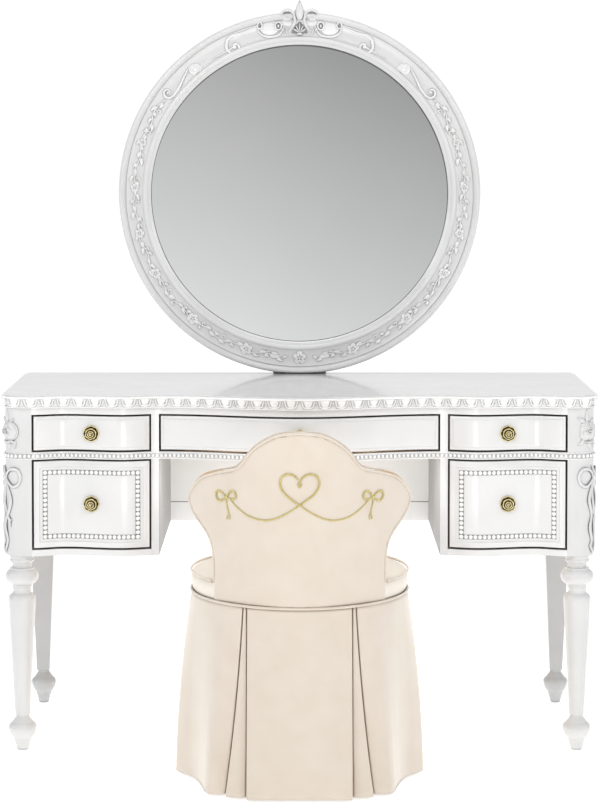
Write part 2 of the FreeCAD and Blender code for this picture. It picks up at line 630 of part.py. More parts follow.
def make_chair():
    outline = back_outline()
    thick = BACK_COVER + BACK_BOARD + BACK_PAD
    whole = back_layer(outline, -0.05, thick + 0.1)
    cover = back_layer(outline, 0, BACK_COVER)
    board = back_layer(outline.makeOffset2D(-BOARD_INSET), BACK_COVER, BACK_BOARD)
    pad = back_layer(outline, BACK_COVER + BACK_BOARD, BACK_PAD)
    PARTS["back_cover"] = cover
    PARTS["back_board"] = board
    PARTS["back_pad"] = pad
    rim = back_layer(outline, -PIPING, PIPING)
    inner = back_layer(outline.makeOffset2D(-PIPING_WIDTH), -1, 3)
    PARTS["back_piping"] = rim.cut(inner)

    lines = [heart_line(), swag_line()] + bow_lines()
    lines += [[(-x, z) for x, z in line] for line in lines]
    threads = [back_layer(stroke(line, THREAD_WIDTH), -THREAD, THREAD) for line in lines]
    PARTS["embroidery"] = threads[0].fuse(threads[1:]).removeSplitter()

    low = box(-20, 20, SEAT_Y - SEAT_B - 3, SEAT_Y, BACK_Z - 0.01, SEAT_TOP + 1)
    clear = whole.common(low)
    PARTS["seat_board"] = oval_disc(BAND, SEAT_BOTTOM, SEAT_BOTTOM + 1.2).cut(clear)
    clear = clear.fuse(PARTS["back_piping"])
    PARTS["seat_band"] = oval_ring(0, BAND, SEAT_BOTTOM, SEAT_PIPING_Z).cut(clear)
    cushion = oval_disc(BAND, SEAT_BOTTOM + 1.2, SEAT_PIPING_Z)
    crown = tapered(SEAT_A - BAND, SEAT_B - BAND, SEAT_PIPING_Z, SEAT_A * 0.8, SEAT_B * 0.8, SEAT_TOP)
    PARTS["seat_cushion"] = cushion.fuse(crown).cut(clear).removeSplitter()
    pipings = [oval_ring(-PIPING, PIPING, z, z + 0.45) for z in (SEAT_BOTTOM, SEAT_PIPING_Z - 0.45)]
    PARTS["seat_piping"] = group([p.cut(whole.fuse(PARTS["back_piping"])) for p in pipings])

    PARTS["seat_frame"] = oval_ring(1.2, 1.5, SEAT_FRAME_BOTTOM, SEAT_BOTTOM)
    legs = []
    for sx in (-1, 1):
        for sy in (-1, 1):
            at = V(sx * CHAIR_LEG[0], SEAT_Y + sy * CHAIR_LEG[1], 0)
            legs.append(Part.makeCylinder(CHAIR_LEG_RADIUS, SEAT_FRAME_BOTTOM, at))
    PARTS["chair_legs"] = group(legs)
    outer = tapered(HEM_A, HEM_B, HEM_Z, SEAT_A, SEAT_B, SEAT_BOTTOM)
    inner = tapered(HEM_A - SKIRT, HEM_B - SKIRT, HEM_Z, SEAT_A - SKIRT, SEAT_B - SKIRT, SEAT_BOTTOM)
    PARTS["skirt"] = outer.cut(inner)


# ---- Build and write ----------------------------------------------------------------------------------
make_top()
make_posts()
make_rails()
make_bead_moulding()
make_panels()
make_runners()
make_legs()
make_drawers()
make_mirror()
make_ornaments()
make_chair()

os.makedirs("parts", exist_ok=True)
bounds = FreeCAD.BoundBox()
for node, shape in PARTS.items():
    bounds.add(shape.BoundBox)
    ok = shape.isValid() and len(shape.Solids) > 0 and shape.Volume > 0
    print(node, len(shape.Solids), round(shape.Volume, 2), "" if ok else "NOT VALID")
    shape.exportStep("parts/" + node + ".step")
print(len(PARTS), "nodes", bounds)
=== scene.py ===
import json
from math import atan2, cos, dist, exp, hypot, pi, radians, sin

import bmesh
import bpy
import numpy as np
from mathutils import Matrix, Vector
from mathutils.bvhtree import BVHTree


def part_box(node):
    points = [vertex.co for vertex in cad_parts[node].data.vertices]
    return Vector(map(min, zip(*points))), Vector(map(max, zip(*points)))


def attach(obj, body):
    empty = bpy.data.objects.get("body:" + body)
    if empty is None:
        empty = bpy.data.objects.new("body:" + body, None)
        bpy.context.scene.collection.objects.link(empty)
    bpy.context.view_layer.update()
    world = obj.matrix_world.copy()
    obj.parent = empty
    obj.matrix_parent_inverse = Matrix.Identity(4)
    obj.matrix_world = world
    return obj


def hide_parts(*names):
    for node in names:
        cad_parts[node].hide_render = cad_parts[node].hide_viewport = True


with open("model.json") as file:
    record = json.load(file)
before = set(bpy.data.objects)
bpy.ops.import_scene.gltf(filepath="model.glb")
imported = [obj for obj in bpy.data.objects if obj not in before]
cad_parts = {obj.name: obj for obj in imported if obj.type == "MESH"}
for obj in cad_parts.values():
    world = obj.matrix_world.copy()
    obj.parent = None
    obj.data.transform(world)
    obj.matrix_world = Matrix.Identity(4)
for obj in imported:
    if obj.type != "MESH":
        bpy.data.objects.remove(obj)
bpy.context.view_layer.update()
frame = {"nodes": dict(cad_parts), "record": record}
NODES = frame["nodes"]

# Lengths are in millimetres, and turned into metres when a mesh is made. Only the camera, the lights
# and the two boards of the studio are placed in metres.
MM = 0.001
TURN = 2 * pi


def box(node):
    """Lowest and highest corner of a CAD node, in millimetres."""
    return [[c / MM for c in corner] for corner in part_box(node)]


# ---- Places read from the frame
(POST_IN, FRONT_Y, _), (POST_OUT, POST_BACK, _) = box("corner_post_right")
BACK_Y = box("back_panel")[1][1]
TOP_HALF = box("table_top")[1][0]
TOP_OVERHANG = 0.8
TOP_FRONT = FRONT_Y - TOP_OVERHANG
CORNER_R = 4
POST_R = 3.2
# Half of the serpentine front: (distance from the middle, offset towards the back).
SERPENTINE = [(0, -3.5), (24.9, 1.4), (31.5, 0), (41.5, 1.5), (47.3, 0)]
(_, _, MIRROR_FOOT), (MIRROR_R, _, _) = box("mirror_frame")
MIRROR_Z = MIRROR_FOOT + MIRROR_R
GLASS_Y = box("mirror_glass")[0][1]
(_, SEAT_REAR, SEAT_Z0), (SEAT_A, SEAT_FRONT, SEAT_Z1) = box("seat_band")
SEAT_Y = (SEAT_REAR + SEAT_FRONT) / 2
SEAT_B = (SEAT_FRONT - SEAT_REAR) / 2
BACK_FOOT = box("back_cover")[0][2]


def serpentine(x):
    x = abs(x)
    for (x0, y0), (x1, y1) in zip(SERPENTINE, SERPENTINE[1:]):
        if x <= x1:
            return y0 + (y1 - y0) * (1 - cos(pi * (x - x0) / (x1 - x0))) / 2
    return SERPENTINE[-1][1]


# ---- Camera, floor and light
def linked(name, data):
    obj = bpy.data.objects.new(name, data)
    bpy.context.scene.collection.objects.link(obj)
    return obj


class Nodes:
    """A node tree, with helpers that add nodes and feed them."""

    def __init__(self, tree):
        self.tree = tree

    def feed(self, node, *values, **named):
        """Gives a node's first inputs and named inputs numbers, colours or other nodes' outputs."""
        pairs = list(zip(node.inputs, values))
        pairs += [(node.inputs[key.replace("_", " ")], value) for key, value in named.items()]
        for socket, value in pairs:
            if isinstance(value, bpy.types.NodeSocket):
                self.tree.links.new(value, socket)
            else:
                socket.default_value = value
        return node

    def node(self, kind, *values, **named):
        return self.feed(self.tree.nodes.new("ShaderNode" + kind), *values, **named)

    def math(self, operation, a, b, kind="Math", out=0):
        node = self.node(kind, a, b)
        node.operation = operation
        return node.outputs[out]


def make_camera():
    cam = bpy.data.cameras.new("camera")
    cam.lens = 110.34
    cam.sensor_width = 36
    cam.shift_x = 0.0005
    cam.shift_y = -0.2049
    cam.clip_start = 0.01
    obj = linked("camera", cam)
    obj.location = (0, -0.4375, 0.11025)
    obj.rotation_euler = (radians(87.5), 0, 0)
    bpy.context.scene.camera = obj


WHITE_LIGHT = (1, 1, 1)
# Name, place, aim, size, power, colour and whether the gloss sees it.
LIGHTS = [
    ("key", (-0.3, -0.52, 0.34), (0, 0, 0.06), (0.26, 0.22), 0.265),
    ("fill", (0.36, -0.46, 0.2), (0, 0, 0.06), (0.12, 0.34), 0.185),
    ("over", (0, -0.5, 0.5), (0, 0, 0.06), (0.5, 0.2), 0.28),
    ("top", (0, 0.02, 0.45), (0, 0.02, 0.06), (0.3, 0.2), 0.52),
    ("strip", (0, -0.41, 0.003), (0, -0.41, 1), (0.08, 0.3), 0.32),
    ("under", (0, -0.002, 0.0505), (0, 0.0366, 0.036), (0.044, 0.006), 0.006, (0.97, 0.99, 1)),
    *(("side", (x, -0.16, 0.25), (0, -0.02, 0.03), (0.2, 0.2), 0.24) for x in (-0.45, 0.45)),
    ("middle", (0, -0.12, 0.13), (0, -0.004, 0.057), (0.12, 0.03), 0.045, WHITE_LIGHT, False),
    ("seat", (0, -0.02, 0.058), (0, -0.0195, 0.035), (0.034, 0.01), 0.0022, WHITE_LIGHT, False)]


def area_light(name, place, aim, size, power, colour=WHITE_LIGHT, glossy=True):
    light = bpy.data.lights.new(name, "AREA")
    light.shape = "RECTANGLE"
    light.size, light.size_y = size
    light.energy = power
    light.color = colour
    obj = linked(name, light)
    obj.location = place
    obj.rotation_euler = (Vector(aim) - Vector(place)).to_track_quat("-Z", "Y").to_euler()
    obj.visible_camera = False
    obj.visible_glossy = glossy


def by_ray(nodes, ray, seen, unseen):
    """Strength for one kind of ray, and another strength for the rest."""
    is_ray = nodes.node("LightPath").outputs[ray]
    return nodes.node("MapRange", Value=is_ray, To_Min=unseen, To_Max=seen).outputs["Result"]


def plane(name, size):
    """Flat board with a material of its own."""
    bpy.ops.mesh.primitive_plane_add(size=size)
    board = bpy.context.object
    board.name = name
    mat = bpy.data.materials.new(name)
    mat.use_nodes = True
    board.data.materials.append(mat)
    return board, Nodes(mat.node_tree)


def make_floor():
    floor, nodes = plane("floor", 6)
    nodes.feed(nodes.tree.nodes["Principled BSDF"], Base_Color=(0.9, 0.9, 0.9, 1), Roughness=0.9,
               Specular_IOR_Level=0.1, Emission_Color=(1, 1, 1, 1), Emission_Strength=0.64)


def make_reflector():
    """Graded grey board that only the mirror and the gloss of the lacquer see."""
    wide, high = 0.3, 0.22
    # Strength in the middle, and its change per metre to the right and upwards.
    middle, across, up = 0.565, -1.25, -2.75
    board, nodes = plane("reflector", 1)
    board.scale = (wide, high, 1)
    board.location = (0, -0.6, 0.08)
    board.rotation_euler = (radians(90), 0, 0)
    for way in ("camera", "diffuse", "transmission", "volume_scatter", "shadow"):
        setattr(board, "visible_" + way, False)
    nodes.tree.nodes.clear()
    place = nodes.node("TexCoord").outputs["Object"]
    slope = nodes.math("DOT_PRODUCT", place, (across * wide, up * high, 0), "VectorMath", "Value")
    glow = nodes.node("Emission", Strength=nodes.math("ADD", slope, middle))
    nodes.node("OutputMaterial", Surface=glow.outputs[0])


def make_studio():
    scene = bpy.context.scene
    scene.view_settings.view_transform = "Standard"
    scene.world = bpy.data.worlds.new("studio")
    scene.world.use_nodes = True
    nodes = Nodes(scene.world.node_tree)
    strength = by_ray(nodes, "Is Camera Ray", 1.02, by_ray(nodes, "Is Glossy Ray", 0.85, 0.42))
    nodes.feed(nodes.tree.nodes["Background"], Color=(1, 1, 1, 1), Strength=strength)
    make_floor()
    make_reflector()
    for light in LIGHTS:
        area_light(*light)


# ---- Materials
class Material(Nodes):
    """A node material with one Principled shader."""

    def __init__(self, name, **fixed):
        self.mat = bpy.data.materials.new(name)
        self.mat.use_nodes = True
        super().__init__(self.mat.node_tree)
        self.shader = self.tree.nodes["Principled BSDF"]
        self.feed(self.shader, **fixed)
        self.coords = self.node("TexCoord").outputs["Object"]

    def noise(self, per_mm, detail=3, stretch=(1, 1, 1)):
        """Noise with about per_mm features in a millimetre."""
        scaled = self.node("Mapping", Vector=self.coords, Scale=[per_mm / MM * s for s in stretch])
        noise = self.node("TexNoise", Vector=scaled.outputs["Vector"], Scale=1, Detail=detail)
        return noise.outputs["Fac"]

    def waves(self, axis, per_mm):
        """Smooth bands along one axis, per_mm of them in a millimetre. Scale 1 gives 20 bands in 2 pi."""
        node = self.node("TexWave", Vector=self.coords, Scale=per_mm / MM * TURN / 20)
        node.bands_direction = axis
        return node.outputs["Fac"]

    def ramp(self, factor, *stops):
        node = self.node("ValToRGB", Fac=factor)
        for element, (place, colour) in zip(node.color_ramp.elements, stops):
            element.position = place
            element.color = (*colour, 1)
        return node.outputs["Color"]

    def mottled(self, factor, low, high):
        return self.ramp(factor, (0.3, low), (0.7, high))

    def crevice(self, distance_mm, dark, colour):
        """Multiplies a colour by a darker one where the surface folds in on itself, found by ambient
        occlusion: painted shade on lacquer and cloth, dark patina in the hollows of brass.
        """
        ao = self.node("AmbientOcclusion", Distance=distance_mm * MM)
        ao.samples = 8
        tint = self.ramp(ao.outputs["AO"], (0.25, dark), (0.85, (1, 1, 1)))
        mix = self.node("Mix", Factor=1)
        mix.data_type = "RGBA"
        mix.blend_type = "MULTIPLY"
        for socket, value in zip(mix.inputs[6:8], (colour, tint)):
            self.tree.links.new(value, socket)
        return mix.outputs[2]

    def base(self, colour):
        self.feed(self.shader, Base_Color=colour)

    def rough(self, factor, low, high):
        level = self.node("MapRange", Value=factor, To_Min=low, To_Max=high)
        self.feed(self.shader, Roughness=level.outputs["Result"])

    def bump(self, height, depth_mm, strength=1):
        node = self.node("Bump", Height=height, Strength=strength, Distance=depth_mm * MM)
        self.feed(self.shader, Normal=node.outputs["Normal"])


def lacquer(name, tone, painted_shade=None, reach=0.45, coat=0.7, tint=(1, 1, 1)):
    """Sprayed white lacquer, or at a low tone a dark sheet for painted shade and joint lines. On carvings,
    painted shade darkens the hollows. Without a coat it is matt.
    """
    m = Material(name, Coat_Weight=coat, Coat_Roughness=0.07, Specular_IOR_Level=0.5 if coat else 0.15)
    low, high = [[(tone + step) * c for c in tint] for step in (-0.02, 0.02)]
    colour = m.mottled(m.noise(0.12, 4), low, high)
    # Painted shade: darker where ambient occlusion finds a hollow.
    if painted_shade:
        colour = m.crevice(reach, (painted_shade,) * 3, colour)
    m.base(colour)
    m.rough(m.noise(0.6, 5), 0.2 if coat else 0.55, 0.26 if coat else 0.7)
    m.bump(m.noise(1.2, 3), 0.003, 0.05)
    return m.mat


def birch(name, light, dark, rough):
    """Plain light timber with grain along its length."""
    m = Material(name, Specular_IOR_Level=0.35)
    grain = m.noise(0.9, 8, (0.25, 1, 2.2))
    m.base(m.ramp(grain, (0.32, dark), (0.68, light)))
    m.rough(grain, rough, rough + 0.15)
    m.bump(m.noise(2.4, 6, (0.15, 1, 1)), 0.03, 0.5)
    return m.mat


def brass(name, dull, bright, rough):
    m = Material(name, Metallic=1)
    m.base(m.crevice(0.35, (0.1, 0.07, 0.03), m.mottled(m.noise(1.6, 5), dull, bright)))
    m.rough(m.noise(3), rough, rough + 0.18)
    m.bump(m.noise(4, 2), 0.01, 0.3)
    return m.mat


def silvered_glass():
    m = Material("silvered_glass", Metallic=1)
    m.base(m.mottled(m.noise(0.03, 2), (0.9, 0.91, 0.915), (0.93, 0.935, 0.935)))
    m.rough(m.noise(0.05, 2), 0.02, 0.05)
    return m.mat


def hardboard():
    m = Material("hardboard", Specular_IOR_Level=0.3)
    fibre = m.noise(3, 8, (1, 1, 1.6))
    m.base(m.mottled(fibre, (0.3, 0.19, 0.11), (0.46, 0.31, 0.19)))
    m.rough(fibre, 0.6, 0.85)
    m.bump(fibre, 0.03, 0.6)
    return m.mat


def steel():
    m = Material("zinc_steel", Metallic=1)
    m.base(m.mottled(m.noise(3, 4), (0.5, 0.5, 0.51), (0.68, 0.68, 0.69)))
    m.rough(m.noise(6), 0.25, 0.42)
    return m.mat


def upholstery(name, low, high):
    """Cream satin-weave cloth: a fine weave, a soft sheen, slight unevenness of colour and painted shade
    darkening its creases.
    """
    m = Material(name, Specular_IOR_Level=0.25, Sheen_Weight=1, Sheen_Roughness=0.5,
                 Sheen_Tint=(1, 0.97, 0.92, 1))
    m.base(m.crevice(0.4, (0.64, 0.56, 0.47), m.mottled(m.noise(0.25, 5), low, high)))
    m.rough(m.noise(2, 4), 0.55, 0.75)
    along_x, along_y, along_z = [m.waves(axis, 5.5) for axis in "XYZ"]
    weave = m.math("MAXIMUM", m.math("MAXIMUM", along_x, along_z), along_y)
    m.bump(m.math("ADD", weave, m.noise(1.2, 4)), 0.012, 0.35)
    return m.mat


def gold_thread():
    m = Material("gold_thread", Metallic=0.35, Specular_IOR_Level=0.6, Sheen_Weight=0.4)
    twist = m.noise(5)
    m.base(m.mottled(twist, (0.45, 0.37, 0.1), (0.78, 0.68, 0.32)))
    m.rough(twist, 0.35, 0.55)
    m.bump(m.noise(7, 2), 0.02, 0.6)
    return m.mat


# The lacquers below stand for one white paint. The third number, where given, darkens the hollows with
# painted shade. COOL is a slightly blue tint that cancels the cream light the chair throws into the
# kneehole: painted light.
COOL = (0.98, 1, 1.03)
WHITE = lacquer("white_lacquer", 0.735)
CARVED = lacquer("carved_lacquer", 0.88, 0.42, 0.35)
MOULDED = lacquer("moulding_lacquer", 0.87, 0.74, 0.3)
FRAME_WHITE = lacquer("frame_lacquer", 0.655, 0.3, 0.5)
# Lighter than the frame: painted highlights on the ring's carved leaves.
LEAF_HIGHLIGHT = lacquer("leaf_painted_highlight", 0.77, 0.48, 0.3)
# Darker copy for the front legs, posts, kneehole walls and post ornaments: painted shade.
TURNED_SHADE = lacquer("turned_painted_shade", 0.655, 0.4, 0.5)
SHADED = lacquer("shaded_lacquer", 0.5, 0.3, 0.5, tint=COOL)
# Dark matt copy for the walls of the kneehole: painted shade.
KNEEHOLE_SHADE = lacquer("kneehole_painted_shade", 0.42, coat=0, tint=COOL)
# Lighter matt copy for the back of the kneehole: painted light.
REAR = lacquer("rear_painted_light", 0.88, coat=0, tint=COOL)
# Near-black painted shadow along the mirror's sight edge.
SIGHT_SHADOW = lacquer("sight_shadow_sheet", 0.1)
# Dark line at the back rail joint, and painted shade between the drawer pearls and in the crest's
# undercuts.
SHADE_AND_JOINT = lacquer("dark_shade_and_joint", 0.25)
# Paler painted shade between the pearls of the middle rail.
PALE_SHADE = lacquer("pale_painted_shade", 0.45)
# Faint painted shade lines beside the husks of the carved moulding.
FAINT_SHADE = lacquer("faint_painted_shade", 0.6)
PATINA = brass("brass_patina", (0.05, 0.038, 0.014), (0.1, 0.075, 0.03), 0.35)
BRASS = brass("antique_brass", (0.66, 0.55, 0.27), (0.9, 0.8, 0.48), 0.2)
CLOTH = upholstery("cream_cloth", (0.635, 0.558, 0.474), (0.665, 0.592, 0.512))
# Lighter copy of the cloth for the seat, whose top the desk shades: painted light.
LIT_SEAT_CLOTH = upholstery("lit_seat_cloth", (0.77, 0.71, 0.625), (0.8, 0.74, 0.66))
THREAD = gold_thread()
TIMBER = birch("birch", (0.78, 0.66, 0.48), (0.62, 0.48, 0.31), 0.42)
BEECH = birch("beech", (0.66, 0.47, 0.29), (0.52, 0.34, 0.19), 0.5)
BY_SLOT = {
    "white_lacquer": WHITE, "drawer_wood": TIMBER, "brass": BRASS, "mirror": silvered_glass(),
    "backing_board": hardboard(), "cream_fabric": CLOTH, "gold_thread": THREAD, "beech": BEECH,
    "steel": steel()}
# CAD nodes whose lacquer is darkened or lightened for the light they get: painted shade on the legs, posts
# and kneehole walls, painted light on the back of the kneehole.
BY_NODE = {"back_panel": REAR, "back_rail": REAR}
for end in ("left", "right"):
    BY_NODE["back_leg_" + end] = SHADED
    for part in ("front_leg_", "corner_post_", "inner_panel_"):
        BY_NODE[part + end] = TURNED_SHADE


def dress_cad_nodes():
    slots = {s["node"]: s["material_slot"] for s in frame["record"]["subparts"]}
    for name, obj in NODES.items():
        obj.data.materials.clear()
        obj.data.materials.append(BY_NODE.get(name, BY_SLOT[slots[name]]))


# ---- Mesh building
class Shape:
    """Vertices in millimetres and faces, gathered from many small solids."""

    def __init__(self, verts=(), faces=()):
        self.verts = list(verts)
        self.faces = list(faces)

    def grid(self, rows, wrap=False, caps=False):
        """Surface through equal rows of points. wrap joins each row's end to its start."""
        start = len(self.verts)
        n = len(rows[0])
        for row in rows:
            self.verts += [tuple(p) for p in row]
        for a in range(start, start + (len(rows) - 1) * n, n):
            for j in range(n if wrap else n - 1):
                k = (j + 1) % n
                self.faces.append((a + j, a + k, a + n + k, a + n + j))
        if caps:
            self.faces.append(tuple(range(start + n - 1, start - 1, -1)))
            self.faces.append(tuple(range(len(self.verts) - n, len(self.verts))))
        return self

    def mapped(self, func):
        return Shape([func(*v) for v in self.verts], self.faces)

    def mirrored(self):
        return Shape([(-x, y, z) for x, y, z in self.verts], [f[::-1] for f in self.faces])

    def add(self, *others):
        for other in others:
            start = len(self.verts)
            self.verts += other.verts
            self.faces += [tuple(start + i for i in f) for f in other.faces]
        return self


def solid(rows):
    """Closed solid through loops of points."""
    return Shape().grid(rows, wrap=True, caps=True)


def both_halves(half):
    return Shape().add(half, half.mirrored())


def circle(count):
    """Angles evenly spaced round a full turn."""
    return np.linspace(0, TURN, count, endpoint=False)


def rim(u, v, ru, rv, w, thick):
    """Closed round rod on an oval."""
    pts = [(u + ru * cos(a), v + rv * sin(a), w) for a in np.linspace(0, TURN, 25)]
    return tube(pts, (thick,))


def corners(a0, a1, b0, b1):
    """Corners of a rectangle, in order round it."""
    return [(a0, b0), (a0, b1), (a1, b1), (a1, b0)]


def face_outwards(mesh, weld=False):
    """Turns the faces outwards, after joining the edges of a mesh gathered from sheets if asked."""
    bm = bmesh.new()
    bm.from_mesh(mesh)
    if weld:
        bmesh.ops.remove_doubles(bm, verts=bm.verts, dist=1e-7)
    bmesh.ops.recalc_face_normals(bm, faces=bm.faces)
    bm.to_mesh(mesh)
    bm.free()


def make_object(name, shape, material, replaces=(), smooth=40, body="desk"):
    """Piece of a body. Edges sharper than smooth degrees are shaded as edges."""
    mesh = bpy.data.meshes.new(name)
    mesh.from_pydata([(x * MM, y * MM, z * MM) for x, y, z in shape.verts], [], shape.faces)
    mesh.validate()
    face_outwards(mesh)
    obj = linked(name, mesh)
    mesh.materials.append(material)
    mesh.shade_smooth()
    mesh.set_sharp_from_angle(angle=radians(smooth))
    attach(obj, body)
    if replaces:
        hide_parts(*replaces)
    return obj


def make_cloth(name, shape, replaces=(), material=CLOTH):
    return make_object(name, shape, material, replaces, 60, "chair")


class Path:
    """A plan curve walked by distance along it."""

    def __init__(self, points):
        self.p = np.array(points, float)
        steps = np.hypot(*np.diff(self.p, axis=0).T)
        self.s = np.concatenate([[0], np.cumsum(steps)])
        self.length = self.s[-1]

    def at(self, s):
        return [np.interp(s, self.s, axis) for axis in self.p.T]

    def point(self, s, z, w):
        """The place at distance s, height z, standing w proud of the curve, which runs on straight."""
        on = min(max(s, 0), self.length)
        (x, y), (x0, y0), (x1, y1) = [self.at(d) for d in (on, max(on - 0.15, 0),
                                                           min(on + 0.15, self.length))]
        tx, ty = x1 - x0, y1 - y0
        size = hypot(tx, ty)
        return x + (s - on) * tx / size + ty / size * w, y + (s - on) * ty / size - tx / size * w, z


def half_front(half, y, radius, end_y):
    """Right half of the front: serpentine, round corner, straight side."""
    pts = [(x, y + serpentine(x)) for x in np.arange(0, half - radius, 0.25)]
    for a in np.linspace(0, pi / 2, 24):
        pts.append((half - radius + radius * sin(a), y + radius - radius * cos(a)))
    pts.append((half, end_y))
    return Path(pts)


def ball(centre, ru, rv, rw, around=12, up=6):
    """Half-sunk dome or bead, flattened to rw along its third direction."""
    u, v, w = centre
    rows = []
    for i in range(up + 1):
        t = -0.35 * pi + (0.85 * pi) * i / up
        c, s = cos(t), sin(t)
        rows.append([(u + ru * c * cos(a), v + rv * c * sin(a), w + rw * s) for a in circle(around)])
    return solid(rows)


def tube(points, radii, sides=8, flat=1):
    """Round or flattened rod along a path in (u, v, w), closed at both ends."""
    p = np.array(points, float)
    r = np.interp(np.linspace(0, 1, len(p)), np.linspace(0, 1, len(radii)), radii)
    tangents = np.gradient(p, axis=0)
    tangents /= np.linalg.norm(tangents, axis=1)[:, None]
    rows = []
    for centre, radius, t in zip(p, r, tangents):
        side = np.cross(t, (0, 0, 1))
        if np.linalg.norm(side) < 1e-6:
            side = np.array((1.0, 0, 0))
        side /= np.linalg.norm(side)
        up = np.cross(side, t)
        rows.append([centre + radius * (cos(a) * side + flat * sin(a) * up)
                     for a in circle(sides)])
    return solid(rows)


def rod(points, per, radii, sides=8, flat=1):
    """Tube along a smooth curve through a few points."""
    return tube(smooth_path(points, per), radii, sides, flat)


def smooth_path(points, per=6):
    """Catmull-Rom curve through a few points."""
    p = np.array(points, float)
    p = np.vstack([2 * p[0] - p[1], p, 2 * p[-1] - p[-2]])
    out = []
    for i in range(1, len(p) - 2):
        for t in np.linspace(0, 1, per, endpoint=False):
            out.append(0.5 * (2 * p[i] + (p[i + 1] - p[i - 1]) * t
                              + (2 * p[i - 1] - 5 * p[i] + 4 * p[i + 1] - p[i + 2]) * t ** 2
                              + (3 * p[i] - p[i - 1] - 3 * p[i + 1] + p[i + 2]) * t ** 3))
    out.append(p[-2])
    return np.array(out)


def petal(u, v, angle, length, width, height, w=0, tip=0.75, curl=0, vein=0.25):
    """Leaf or petal lying on a surface: closed, thicker along its middle, with a vein."""
    ca, sa = cos(angle), sin(angle)
    sunk = 0.12
    rows = []
    for i in range(9):
        t = i / 8
        half = width / 2 * sin(pi * min(1, t ** tip * 0.985 + 0.015)) ** 0.75 + 0.01
        bend = curl * t * t * length
        top, low = [], []
        for j in range(7):
            s = -1 + 2 * j / 6
            a, b = t * length, s * half + bend
            rise = (1 - s * s) * sin(pi * (0.08 + 0.84 * t)) - vein * exp(-(s / 0.3) ** 2)
            x, y = u + a * ca - b * sa, v + a * sa + b * ca
            top.append((x, y, w + height * max(rise, 0.02)))
            low.append((x, y, w - sunk))
        rows.append(top + low[::-1])
    return solid(rows)


def flower(u, v, radius, height, turn, w):
    """Open flower: a ring of five cupped petals, a smaller inner ring and a centre."""
    shape = Shape()
    inner = radius * 0.12
    for ring, (scale, lift) in enumerate(((1, 0), (0.62, 0.35))):
        long = radius * scale * 0.95
        for k in range(5):
            a = turn + TURN * (k + 0.5 * ring) / 5
            shape.add(petal(u + inner * cos(a), v + inner * sin(a), a, long, long, height * 0.8,
                            w + height * lift, tip=1.25, vein=0.35))
    return shape.add(ball((u, v, w + height * 0.75), radius * 0.22, radius * 0.22, height * 0.45))


def volute(u, v, radius, start, turns, hand, w, thick, lead=()):
    """Scroll end: a rod that winds in to an eye, after an optional leading path."""
    pts = [tuple(p) for p in lead]
    count = int(14 * abs(turns)) + 4
    for i in range(count):
        t = i / (count - 1)
        r = radius * (1 - 0.8 * t)
        a = start + hand * TURN * turns * t
        pts.append((u + r * cos(a), v + r * sin(a), w))
    shape = tube(pts, (thick * 0.45, thick, thick * 0.85, thick * 0.6), 8, 0.8)
    eye = radius * 0.24
    return shape.add(ball((u, v, w), eye, eye, thick * 0.9))


def lathe(profile, steps):
    """Turned shape about the third axis: profile of (distance along, radius)."""
    return solid([[(r * cos(a), r * sin(a), d) for a in circle(steps)] for d, r in profile])


# ---- Carved moulding under the top
def rows_along(path, profile):
    """Cross-section (out, up) carried along a plan curve in steps of about 0.4 mm."""
    count = int(path.length / 0.4)
    return [[path.point(s, z, w) for w, z in profile] for s in np.linspace(0, path.length, count)]


UNIT_PITCH = 2.9
PEARL_RAIL_PITCH = 0.77


